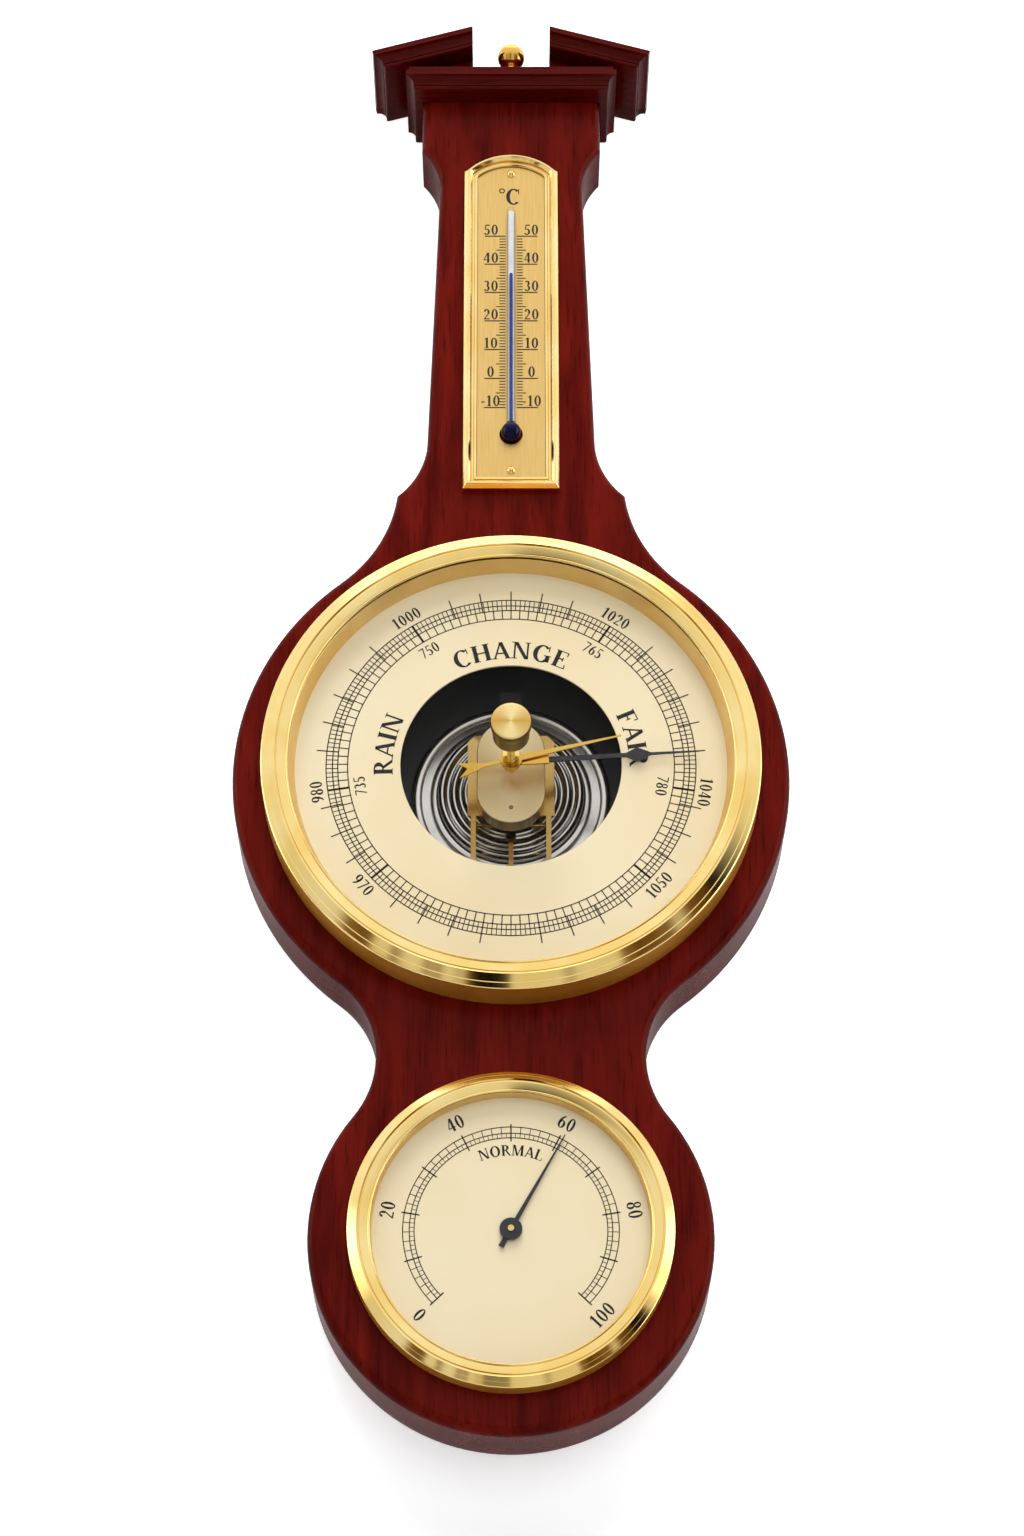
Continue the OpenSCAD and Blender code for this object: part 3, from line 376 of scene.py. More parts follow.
# Noise that moves the roughness between two values, and can move the tone too
def unevenGloss(add, shader, vector, rough, scale, detail):
    cloud = add("TexNoise", {"Scale": scale, "Detail": detail}, {"Vector": vector})
    add("MapRange", {"To Min": rough[0], "To Max": rough[1]}, {"Value": cloud}, to=(shader, "Roughness"))
    return cloud


# One material whose tone and gloss wander a little
def cloudedFinish(name, pale, deep, rough, scale, detail=4, ends=(0.3, 0.7), stretch=None, **values):
    finish, add, shader, spot = newFinish(name, **values)
    if stretch:
        spot = add("Mapping", {"Scale": stretch}, {"Vector": spot})
    cloud = unevenGloss(add, shader, spot, rough, scale, detail)
    add("ValToRGB", links={"Fac": cloud}, stops=((ends[0], deep), (ends[1], pale)),
        to=(shader, "Base Color"))
    return finish


# Enamels, japanned tin, steel and strip: one colour, slightly uneven in tone and gloss
def coatedFinish(name, pale, deep, rough, scale, metal=0, gloss=0.5):
    return cloudedFinish(name, pale, deep, (rough * 0.85, rough * 1.15), scale,
                         Metallic=metal, **{"Specular IOR Level": gloss})


# Polished brass: mirror bright under clear lacquer, its tone changing faintly about every 2 cm
def brassFinish(name, pale, deep, rough):
    return cloudedFinish(name, pale, deep, (rough * 0.7, rough * 1.3), 60, 3, (0.35, 0.65), Metallic=1)


polishedBrass = brassFinish("polishedBrass", "#f9e09a", "#f2d07c", 0.09)
deepBrass = brassFinish("deepBrass", "#cfae6c", "#b8934e", 0.25)
giltBrass = brassFinish("giltBrass", "#efc362", "#deab49", 0.18)
frameBrass = brassFinish("frameBrass", "#f9e2a2", "#f3d285", 0.13)
ringBrass = brassFinish("satinRingBrass", "#efd295", "#e6c47e", 0.34)
# Brushed brass: fine upright lines about 0.3 mm apart that soften reflections
brushedBrass = cloudedFinish("brushedBrass", "#f0cd85", "#e3bb6c", (0.34, 0.48), 1, 3,
                             stretch=(3300, 3300, 90), Metallic=1)
# Bezel walls: a rougher, half-metal brass in a darker amber tone, painted shade for the dim amber the walls
# show against the wood
wallBrassShaded = coatedFinish("bezelWallShadedBrass", "#d99c3e", "#c6862a", 0.38, 60, 0.55)
# Nickel plate: bright and slightly warm, with a thin haze
nickelPlate = cloudedFinish("nickelPlate", "#eceae6", "#d5d2cc", (0.16, 0.24), 90, Metallic=1)


# Turned brass: lathe lines round the main dial's axis, and a painted highlight: a pale cone above and below
# the axis, painted into the colour
lathe = {"spacing": 0.0004, "depth": 0.00001, "wavePitch": 0.314}  # metres; wavePitch is for scale 1


def turnedFinish(name, pale, deep, rough):
    finish, add, shader, spot = newFinish(name, Metallic=1, Roughness=rough, Anisotropic=0.8)
    add("Tangent", settings={"direction_type": "RADIAL", "axis": "Y"}, to=(shader, "Tangent"))
    centre = add("Mapping", {"Location": (0, 0, bench["hangRise"] / 1000)}, {"Vector": spot})
    rings = add("TexWave", {"Scale": lathe["wavePitch"] / lathe["spacing"], "Distortion": 0.4, "Detail": 2},
                {"Vector": centre}, {"wave_type": "RINGS", "rings_direction": "Y"})
    facing = add("Mapping", {"Rotation": (pi / 2, 0, 0)}, {"Vector": centre})
    sweep = add("TexGradient", None, {"Vector": facing}, {"gradient_type": "RADIAL"})
    # Painted highlight: pale sectors above and below the axis, deep ones beside it
    paintedConeStops = ((0, deep), (0.22, pale), (0.3, pale), (0.5, deep), (0.72, pale), (0.8, pale), (1, deep))
    paintedCone = add("ValToRGB", links={"Fac": sweep.outputs["Fac"]}, stops=paintedConeStops)
    lines = rings.outputs["Fac"]
    fine = add("ValToRGB", links={"Fac": lines}, stops=((0, "#e6e2da"), (1, "#ffffff")))
    add("Mix", {0: 0.8}, {6: paintedCone, 7: fine}, {"data_type": "RGBA", "blend_type": "MULTIPLY"},
        to=(shader, "Base Color"))
    add("Bump", {"Strength": 0.4, "Distance": lathe["depth"]}, {"Height": lines}, to=(shader, "Normal"))
    return finish


# The pale and deep tones are those of the painted cone highlight
turnedKnobPaintedCone = turnedFinish("turnedKnobBrassPaintedCone", "#ffe9a6", "#e2b257", 0.28)
turnedBrassPaintedCone = turnedFinish("turnedBrassPaintedCone", "#f4e2b2", "#cfb077", 0.36)

creamEnamel = coatedFinish("creamEnamel", "#f8e9c4", "#f3dfb2", 0.45, 25)
# Black ink for the print; the same black is painted shade on the yoke and in screw slots
blackInkAndShade = coatedFinish("blackInkAndShade", "#1d1a17", "#131110", 0.6, 400)
blackEnamel = coatedFinish("blackEnamel", "#29282b", "#1f1e21", 0.35, 300)
blackTin = coatedFinish("japannedTin", "#403f3e", "#353433", 0.4, 60)
bluedSteel = coatedFinish("bluedSteel", "#2b3550", "#1f2740", 0.25, 200, 1)
humidityStrip = coatedFinish("humidityStrip", "#d9c9a4", "#c7b48a", 0.6, 300)
# Blue spirit: little gloss of its own inside the glass, and navy where it is deep
blueSpirit = coatedFinish("blueSpirit", "#123a9e", "#0a2570", 0.1, 500, gloss=0.05)
navyBulb = coatedFinish("navyBulb", "#070b38", "#040624", 0.06, 500, gloss=0.12)
# Opal glass: the white strip in the back of the tube, against which the spirit is read
opalGlass = coatedFinish("opalGlass", "#dcddde", "#cfd1d4", 0.25, 300)

# Window glass: clear, seen by its faint reflection only
clearGlass, add, shader, spot = newFinish("clearGlass", IOR=1.5, Alpha=0.04)
shader.inputs["Base Color"].default_value = linearColour("#202224")
unevenGloss(add, shader, spot, (0.02, 0.05), 70, 3)
# Thermometer glass: a clear rod that greys towards its edges
tubeGlass, add, shader, spot = newFinish("tubeGlass", IOR=1.5)
shader.inputs["Base Color"].default_value = linearColour("#a7a6a2")
unevenGloss(add, shader, spot, (0.03, 0.08), 300, 3)
turnAway = add("LayerWeight", {"Blend": 0.5})
greying = (0.3, 0.95, 0.08, 0.75)  # how far turned away, from and to, and how solid there
add("MapRange", rangeOf(greying), {"Value": turnAway.outputs["Facing"]}, to=(shader, "Alpha"))
print("finishes made")

# Case board: both lobes and the waist, hollow shoulders, flared neck and ears
case = {
    "lobe": 74.2, "foot": 51.2, "waist": 26, "shoulder": 41.5, "shoulderRise": 15.8, "flare": 24,
    "neckFoot": 23.3, "neckRise": 103, "neckHead": 20.5, "ear": 20, "earRise": 186, "head": 25.8,
    "top": 220.4, "edge": 2.8, "mainHole": 56.5, "hygroHole": 33.5,
}


def bearing(here, there):
    return degrees(atan2(there[1] - here[1], there[0] - here[0]))


# A hollow arc from one place to another, its centre outside the case, without its first point
def hollowArc(centre, radius, start, stop, steps):
    return arc(centre, radius, bearing(centre, start) % 360, bearing(centre, stop) % 360, steps)[1:]


# Right half of the case from its foot up, as arcs that run into each other, then both halves
def caseOutline(c):
    gap = bench["dialGap"]
    toLobe = c["lobe"] + c["waist"]
    toFoot = c["foot"] + c["waist"]
    waistY = -(gap ** 2 + toLobe ** 2 - toFoot ** 2) / (2 * gap)
    waist = (sqrt(toLobe ** 2 - waistY ** 2), waistY)
    shoulderY = c["lobe"] + c["shoulderRise"]
    shoulder = (sqrt((c["lobe"] + c["shoulder"]) ** 2 - shoulderY ** 2), shoulderY)
    flare = (c["neckFoot"] + c["flare"], c["neckRise"])
    ear = (c["neckHead"] + c["ear"], c["earRise"])
    # The cusp is where the shoulder's circle meets the flare's, on the case's side
    span = dist(shoulder, flare)
    part = (c["shoulder"] ** 2 - c["flare"] ** 2 + span ** 2) / (2 * span)
    rise = sqrt(c["shoulder"] ** 2 - part ** 2)
    ux = (flare[0] - shoulder[0]) / span
    uy = (flare[1] - shoulder[1]) / span
    middle = (shoulder[0] + part * ux, shoulder[1] + part * uy)
    cusp = min((middle[0] - s * rise * uy, middle[1] + s * rise * ux) for s in (-1, 1))
    earTurn = 180 - degrees(acos((ear[0] - c["head"]) / c["ear"]))
    half = [(0, -gap - c["foot"])]
    half += arc(footCentre, c["foot"], -90, bearing(footCentre, waist), 40)[1:]
    half += hollowArc(waist, c["waist"], footCentre, (0, 0), 22)
    half += arc((0, 0), c["lobe"], bearing((0, 0), waist), bearing((0, 0), shoulder), 48)[1:]
    half += hollowArc(shoulder, c["shoulder"], (0, 0), cusp, 18)
    half += hollowArc(flare, c["flare"], cusp, (0, flare[1]), 12)
    half += arc(ear, c["ear"], 180, earTurn, 12)
    half += [(c["head"], c["top"])]
    return bothSides(half)


pastWood = 1  # how far a cutter reaches past the wood
board = sawPiece("caseBoard", caseOutline(case), 0, bench["boardThick"], case["edge"], 7)
for name, centre in dials:
    cutAway(board, drillBit("hole", case[name + "Hole"], -pastWood, bench["boardThick"] + pastWood, centre))
# Keyhole: round entry, slot above it, and a wider pocket behind the slot's lip for the screw's head
keyhole = {"radius": 5, "depth": 10, "slot": 2, "pocket": 3.3, "rise": 10, "lip": 3, "slotDepth": 9.98}
k = keyhole
entry = (0, bench["hangRise"])
upper = (0, bench["hangRise"] + k["rise"])
cutAway(board, drillBit("keyEntry", k["radius"], -pastWood, k["depth"], entry, 48))
for name, half, low in (("keySlot", k["slot"], -pastWood), ("keyPocket", k["pocket"], k["lip"])):
    slot = [(half, entry[1])] + arc(upper, half, 0, 180, 16) + [(-half, entry[1])]
    cutAway(board, sawPiece(name, slot, low, k["slotDepth"]))
hangPiece(board, mahogany, "case_board", smooth=30)
print("case board done")

# Cornice and broken pediment: the CAD's mouldings with their arrises rubbed down
moulding = {"edge": 0.3, "segments": 3}
# Their darker stain is painted shade
for node in ("cornice_front", "cornice_left", "cornice_right", "pediment_plinth", "tympanum_left",
             "tympanum_right", "pediment_left", "pediment_right", "pediment_left_return",
             "pediment_right_return"):
    dressCopy(node + "Moulding", node, "case", "mahogany", acrossGrainWithShade, **moulding)

# Finial: ball on a neck and a stepped collar; profile is (radius, height over the collar)
finial = {
    "ball": 4, "ballRise": 231.8, "axis": 19, "foot": 223.4, "collar": 3.2, "bead": 0.6, "beadIn": 0.5,
    "collarTop": 224.6, "neck": 1.45, "profile": ((2.4, 0), (2.2, 0.2), (1.9, 0.3), (1.6, 0.8), (1.45, 1.6)),
}
f = finial
ballLow = -90 + degrees(asin(f["neck"] / f["ball"]))
outline = [(0, f["foot"]), (f["collar"], f["foot"])]
outline += arc((f["collar"] - f["beadIn"], f["foot"] + f["bead"]), f["bead"], -40, 80, 8)
outline += stepped((0, f["collarTop"]), f["profile"])
outline += arc((0, f["ballRise"]), f["ball"], ballLow, 90, 28)
outline[-1] = (0, f["ballRise"] + f["ball"])
ball = turnUpright("finialBall", outline, f["axis"])
hangPiece(ball, giltBrass, "finial", smooth=50)
print("cornice, pediment and finial done")

# Thermometer frame: its section is a slope, ridge, slope and step, as (inset, height)
surround = {
    "half": 13.4, "low": 85.15, "shoulder": 189.75, "arch": 5.9, "arris": 0.14,
    "section": ((0, 20), (0, 22), (0.95, 23.2), (1.5, 23.2), (2.3, 22.4), (2.45, 21.4), (2.95, 21.4),
                (3.1, 22), (3.8, 21.8), (3.8, 20), (0, 20)),
}


def surroundLoop(s, inset, height):
    radius = (s["half"] ** 2 + s["arch"] ** 2) / (2 * s["arch"])
    centre = (0, s["shoulder"] + s["arch"] - radius)
    side = s["half"] - inset
    turn = degrees(acos(side / (radius - inset)))
    half = [(0, s["low"] + inset), (side, s["low"] + inset)] + arc(centre, radius - inset, turn, 90, 16)
    half[-1] = (0, centre[1] + radius - inset)
    return [(x, y, height) for x, y in bothSides(half)]


s = surround
rim = loftLoops("thermometerSurround", [surroundLoop(s, inset, height) for inset, height in s["section"]])
hangPiece(rim, frameBrass, "thermometer_frame", edge=s["arris"], smooth=25)

# Thermometer: glass tube with a bulb and blue spirit; neck is the fillet as (radius over the tube, rise)
thermometer = {
    "axis": 22.6, "bulbRise": 102.85, "bulb": 2.75, "bulbWall": 0.35, "tube": 1.3, "top": 176.95,
    "neck": ((0.12, 0.5), (0, 1.1)), "neckEarly": 8, "spirit": 0.47, "spiritTop": 154.85,
}


def bulbOutline(t, bulb, rod, top, steps, early=0, neck=()):
    joinTurn = degrees(acos(rod / bulb)) - early
    outline = arc((0, t["bulbRise"]), bulb, -90, joinTurn, 26)
    outline += stepped((rod, outline[-1][1]), neck)
    outline += arc((0, top - rod), rod, 0, 90, steps)
    outline[0] = (0, t["bulbRise"] - bulb)
    outline[-1] = (0, top)
    return outline


t = thermometer
inner = t["bulb"] - t["bulbWall"]
tubeOutline = bulbOutline(t, t["bulb"], t["tube"], t["top"], 10, t["neckEarly"], t["neck"])
spiritOutline = bulbOutline(t, inner, t["spirit"], t["spiritTop"], 6)
for name, outline, slot, finish, node, bulb in (
        ("thermometerTube", tubeOutline, "glass", tubeGlass, "thermometer_tube", t["bulb"]),
        ("thermometerSpirit", spiritOutline, "blue_spirit", blueSpirit, "thermometer_spirit", inner)):
    rod = hangPiece(turnUpright(name, outline, t["axis"], 32), finish, node, smooth=60)
    bulbTop = (t["bulbRise"] + bulb - bench["hangRise"]) / 1000
    paintFaces(rod, navyBulb, lambda face: face.center.z < bulbTop)

# White strip in the tube behind its axis, from over the bulb to under the top
opal = {"half": 0.8, "overBulb": 2.4, "underTop": 1.4, "back": 0.95, "front": 0.58, "edge": 0.12}
side = [(opal["half"], t["bulbRise"] + opal["overBulb"])]
side += arc((0, t["top"] - opal["underTop"]), opal["half"], 0, 90, 8)
strip = sawPiece("tubeOpalStrip", bothSides(side), t["axis"] - opal["back"], t["axis"] - opal["front"],
                 opal["edge"], 2)
hangPiece(strip, opalGlass, smooth=40)

# Two round-headed pins, one turned and one copied
pins = {
    "low": 91.35, "high": 189.45, "head": 1.3, "crown": 1.35, "sunk": 0.35, "shank": 0.6, "foot": 14,
    "seat": 21.2,
}
crown = arc((0, pins["seat"] - pins["sunk"]), pins["crown"], 15, 90, 10)
crown[-1] = (0, crown[-1][1])
outline = [(0, pins["foot"]), (pins["shank"], pins["foot"]), (pins["shank"], pins["seat"])]
outline += [(pins["head"], pins["seat"])] + crown
pin = turnPiece("thermometerPins", outline, (0, pins["low"]), 32)
pickOnly(pin)
bpy.ops.object.duplicate_move(TRANSFORM_OT_translate={"value": (0, pins["high"] - pins["low"], 0)})
pin = joinPieces([pin, bpy.context.object])
hangPiece(pin, polishedBrass, "thermometer_pins", smooth=50)
print("thermometer done")

# Bezels: wall, rounded edge, sloping outer band, groove, inner band and a bright lip round the sight
bezelTrim = {
    "groove": ((0.5, -0.05), (0.22, -0.18), (0.1, -0.5), (-0.1, -0.5), (-0.22, -0.25), (-0.4, -0.2)),
    "band": ((0.75, 0), (0.62, -0.08)), "lip": 0.3, "lipDrop": 0.12, "steep": 0.1, "slack": 0.01,
}
bezels = {"main": {
    "radius": 66, "low": 20, "top": 32.4, "round": 0.7, "drop": 1.7, "wall": 1.4, "groove": 61.9,
    "sight": 58.7, "slope": 0.6, "seat": 11.3, "steps": 192,
}, "hygro": {
    "radius": 41, "low": 20, "top": 26.9, "round": 0.5, "drop": 1.3, "wall": 1.2, "groove": 38.1,
    "sight": 35.2, "slope": 0.45, "seat": 6.15, "steps": 160,
}}


def bezelOutline(b):
    trim = bezelTrim
    inside = b["radius"] - b["wall"]
    edge = b["top"] - b["slope"]
    outline = [(inside, b["low"]), (b["radius"], b["low"])]
    outline += arc((b["radius"] - b["round"], b["top"] - b["drop"] - b["round"]), b["round"], 0, 60, 6)
    outline += stepped((b["groove"], b["top"]), trim["groove"])
    outline += stepped((b["sight"], edge), trim["band"])
    outline += arc((b["sight"] + trim["lip"], edge - trim["lipDrop"]), trim["lip"], 30, 180, 8)
    outline += [(b["sight"], b["low"] + b["seat"]), (inside, b["low"] + b["seat"])]
    return outline + [outline[0]]


for name, centre in dials:
    b = bezels[name]
    bezel = turnPiece(name + "BezelRing", bezelOutline(b), centre, b["steps"])
    hangPiece(bezel, polishedBrass, name + "_bezel", smooth=40)
    wallTop = (b["top"] - b["drop"] - b["round"] + bezelTrim["slack"]) / 1000
    # The wall is what faces sideways below the rounded edge; it takes the darker brass as painted shade
    paintFaces(bezel, wallBrassShaded,
               lambda face: abs(face.normal.y) < bezelTrim["steep"] and -face.center.y < wallTop)

# Satin rings between each dial and its glass: radius at the dial and at the glass, and small steps
dialRings = {
    "main": (57.2, 58.9), "hygro": (34.9, 35.4), "arris": 0.1, "toe": 0.35, "drop": 0.2, "steps": 160,
}
d = dialRings
for name, centre in dials:
    node = name + "_dial_ring"
    low, high = d[name]
    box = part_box(node)
    outer = (box[1].x - box[0].x) * 1000 / 2
    foot = -box[1].y * 1000
    head = -box[0].y * 1000
    outline = [(low, foot), (low + d["arris"], foot + d["toe"]), (high - d["arris"], head - d["drop"])]
    outline += [(high + d["arris"], head), (outer, head), (outer, foot), (low, foot)]
    ring = turnPiece(name + "DialRing", outline, centre, d["steps"])
    hangPiece(ring, ringBrass, node, smooth=40)
print("bezels and rings done")

# Movement behind the dial: base with a rounded rim, rippled capsule, yoke, gear cover and lever
movement = {
    "baseRadius": 27, "baseLow": 2, "baseTop": 3, "rimIn": 24, "rimTop": 4, "capsule": 21.8, "ripples": 5,
    "rippleSteps": 60, "ripple": 0.42, "capsuleTop": 7.2, "flange": 1.6, "flangeRise": 1.6,
    "flangeEdge": ((0, -0.4), (-0.5, 0)), "boss": 4, "bossEdge": (3.6, -0.2),
    "coverWide": 9, "coverLong": 15, "coverLow": 15, "coverTop": 20.5, "coverEdge": 0.45, "yokeShadeLine": -137,
    "yokeArris": 0.15, "leverArris": 0.12,
}
m = movement
rimMiddle = (m["baseRadius"] + m["rimIn"]) / 2
rimHalf = (m["baseRadius"] - m["rimIn"]) / 2
rimRise = m["rimTop"] - m["baseTop"]
outline = [(0, m["baseLow"]), (m["baseRadius"], m["baseLow"]), (m["baseRadius"], m["baseTop"])]
halfRound = arc((0, 0), 1, 0, 180, 15)
outline += [(rimMiddle + rimHalf * x, m["baseTop"] + rimRise * y) for x, y in halfRound]
outline += [(0, m["baseTop"])]
base = turnPiece("movementBase", outline, steps=96)
hangPiece(base, nickelPlate, "movement_base", smooth=50)
edge = m["capsule"] - m["flange"]
crest = m["capsuleTop"] - m["ripple"]
outline = [(0, m["baseTop"]), (m["capsule"], m["baseTop"])]
flangeTop = m["baseTop"] + m["flangeRise"]
outline += stepped((m["capsule"], flangeTop), m["flangeEdge"]) + [(edge, flangeTop)]
for i in range(2, m["rippleSteps"] + 1):
    wave = cos(2 * pi * (m["ripples"] * i / m["rippleSteps"] + 0.5))
    outline.append((edge - (edge - m["boss"]) * i / m["rippleSteps"], crest + m["ripple"] * wave))
outline += stepped((0, m["capsuleTop"]), (m["bossEdge"], (0, 0)))
capsule = turnPiece("capsuleShell", outline, steps=96)
hangPiece(capsule, nickelPlate, "capsule", smooth=60)
coverReach = m["coverLong"] - m["coverWide"]
outline = arc((0, coverReach), m["coverWide"], 0, 180, 32)
outline += arc((0, -coverReach), m["coverWide"], 180, 360, 32)
cover = sawPiece("gearCoverPlate", outline, m["coverLow"], m["coverTop"], m["coverEdge"], 3)
hangPiece(cover, turnedBrassPaintedCone, "gear_cover", smooth=40)
yoke = dressCopy("movementYoke", "yoke", "case", "polished_brass", deepBrass, m["yokeArris"])
# Painted shade: the yoke is painted black above 13 mm over the main dial's centre, in the dark top of the
# opening
paintBeyond(yoke, blackInkAndShade, Vector((0, 0, m["yokeShadeLine"] / 1000)), Vector((0, 0, 1)))
dressCopy("leverArm", "rocking_lever", "lever", "polished_brass", deepBrass, m["leverArris"])

# Screws seen from behind: rounded heads, and slots painted black at the bottom as painted shade
screws = {"arris": 0.08, "adjustSlot": 1.1, "baseSlot": 0.7, "level": 0.9}
for name, node, body, slot, finish, depth in (
        ("adjustingScrew", "adjusting_screw", "adjusting_screw", "polished_brass", polishedBrass,
         "adjustSlot"),
        ("movementScrews", "movement_screws", "case", "nickel_plate", nickelPlate, "baseSlot")):
    screw = dressCopy(name, node, body, slot, finish, screws["arris"])
    shadeDepth = screws[depth] / 1000
    # Painted shade: faces towards the wall that lie deeper than the slot depth, the slot bottoms, are painted
    # black
    paintFaces(screw, blackInkAndShade, lambda face: face.normal.y > screws["level"] and -face.center.y > shadeDepth)

# Hands: the CAD's with their edges rounded, and a brass sleeve on the pressure hand
hands = {"arris": 0.1, "hubArris": 0.18, "sleeve": 10.02, "pressureTurn": 86.4}
pointer = dressCopy("pressurePointer", "pressure_hand", "pressure_hand", "black_enamel", blackEnamel,
                    hands["arris"])
lean = radians(hands["pressureTurn"])
reach = Vector((sin(lean), 0, cos(lean)))
sleeveEnd = Vector((0, 0, -bench["hangRise"] / 1000)) + reach * hands["sleeve"] / 1000
paintBeyond(pointer, giltBrass, sleeveEnd, -reach)
dressCopy("setPointer", "set_hand", "set_hand", "polished_brass", giltBrass, hands["arris"])
dressCopy("hygroPointer", "hygro_hand", "hygro_hand", "black_enamel", blackEnamel, hands["hubArris"], 3)

# Setting knob: stem, skirt, groove and a cap with a turned face
# The groove is stepped from the skirt's top, the cap's foot and edge from the cap
knob = {
    "stem": 1.0, "skirt": 4.8, "skirtLow": 42.4, "arris": 0.3, "cap": 5.25, "capLow": 48.3, "top": 51.4,
    "groove": ((0, -0.9), (-0.3, -0.7), (-0.3, -0.2)), "capFoot": ((-0.15, -0.05), (0, 0.15)),
    "capEdge": ((0, -0.55), (-0.12, -0.18), (-0.55, 0)), "steps": 64,
}
k = knob
stemLow = -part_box("set_knob")[1].y * 1000
outline = [(0, stemLow), (k["stem"], stemLow), (k["stem"], k["skirtLow"])]
outline += [(k["skirt"] - k["arris"], k["skirtLow"]), (k["skirt"], k["skirtLow"] + k["arris"])]
outline += stepped((k["skirt"], k["capLow"]), k["groove"])
outline += stepped((k["cap"], k["capLow"]), k["capFoot"])
outline += stepped((k["cap"], k["top"]), k["capEdge"])
outline += [(0, k["top"])]
cap = turnPiece("settingKnob", outline, steps=k["steps"])
hangPiece(cap, turnedKnobPaintedCone, "set_knob", "set_hand", smooth=40)
print("movement, hands and knob done")


# Print on the dials: inked shapes as thick as a coat of ink
ink = {"thick": 0.025}


def newPage(centre, height):
    return {"centre": centre, "height": height, "parts": []}


def onDial(radius, turn):
    return (radius * sin(radians(turn)), radius * cos(radians(turn)))


# A row of ticks: one drawn, then spun round the dial as copies
def tickRow(page, inner, outer, width, start, stop, count):
    centre = page["centre"]
    across = onDial(width / 2, start + 90)
    near = onDial(inner, start)
    far = onDial(outer, start)
    corner = Vector((centre[0] + near[0] - across[0], centre[1] + near[1] - across[1], page["height"]))
    tick = drawLine("tick", [corner, corner + Vector((far[0] - near[0], far[1] - near[1], 0))])
    selectAll()
    extrudeBy((2 * across[0], 2 * across[1], 0))
    if count > 1:
        selectAll()
        bpy.ops.mesh.spin(steps=count - 1, dupli=True, angle=radians(stop - start), center=(*centre, 0),
                          axis=(0, 0, 1))
    deselect()
    page["parts"].append(tick)


# A printed circle or arc
def ringLine(page, radius, width, start=0, stop=360, steps=180, centre=None):
    centre = centre or page["centre"]
    ends = [onDial(radius + side * width / 2, start) for side in (-1, 1)]
    ring = drawLine("ring", [(centre[0] + x, centre[1] + y, page["height"]) for x, y in ends])
    selectAll()
    bpy.ops.mesh.spin(steps=steps, angle=radians(stop - start), center=(*centre, 0), axis=(0, 0, 1))
    selectAll()
    bpy.ops.mesh.remove_doubles(threshold=shop["seam"])
    deselect()
    page["parts"].append(ring)


# Serif lettering one unit high, of stems, bars and bows that thicken at their sides
serif = {"thick": 0.19, "round": 0.209, "thin": 0.08, "number": 0.17, "foot": 0.05, "arm": 0.055, "gap": 0.06}


def stem(x0, y0, x1, y1, width):
    return [(x0 - width / 2, y0), (x0 + width / 2, y0), (x1 + width / 2, y1), (x1 - width / 2, y1)]


def post(x, width, low=0, high=1):
    return stem(x, low, x, high, width)


def bar(x0, x1, y, width):
    return [(x0, y - width / 2), (x1, y - width / 2), (x1, y + width / 2), (x0, y + width / 2)]


# A serif at the foot of a letter, and one at its head
def footBar(x0, x1, width=serif["foot"]):
    return bar(x0, x1, serif["foot"] / 2, width)


def headBar(x0, x1, width=serif["foot"]):
    return bar(x0, x1, 1 - serif["foot"] / 2, width)


def bow(cx, cy, rx, ry, thick, start=0, stop=359.5):
    turns = [radians(start + (stop - start) * i / 22) for i in range(23)]
    outer = [(cx + rx * cos(a), cy + ry * sin(a)) for a in turns]
    inner = [(cx + (rx - thick) * cos(a), cy + (ry - serif["thin"]) * sin(a)) for a in turns]
    return outer + inner[::-1]


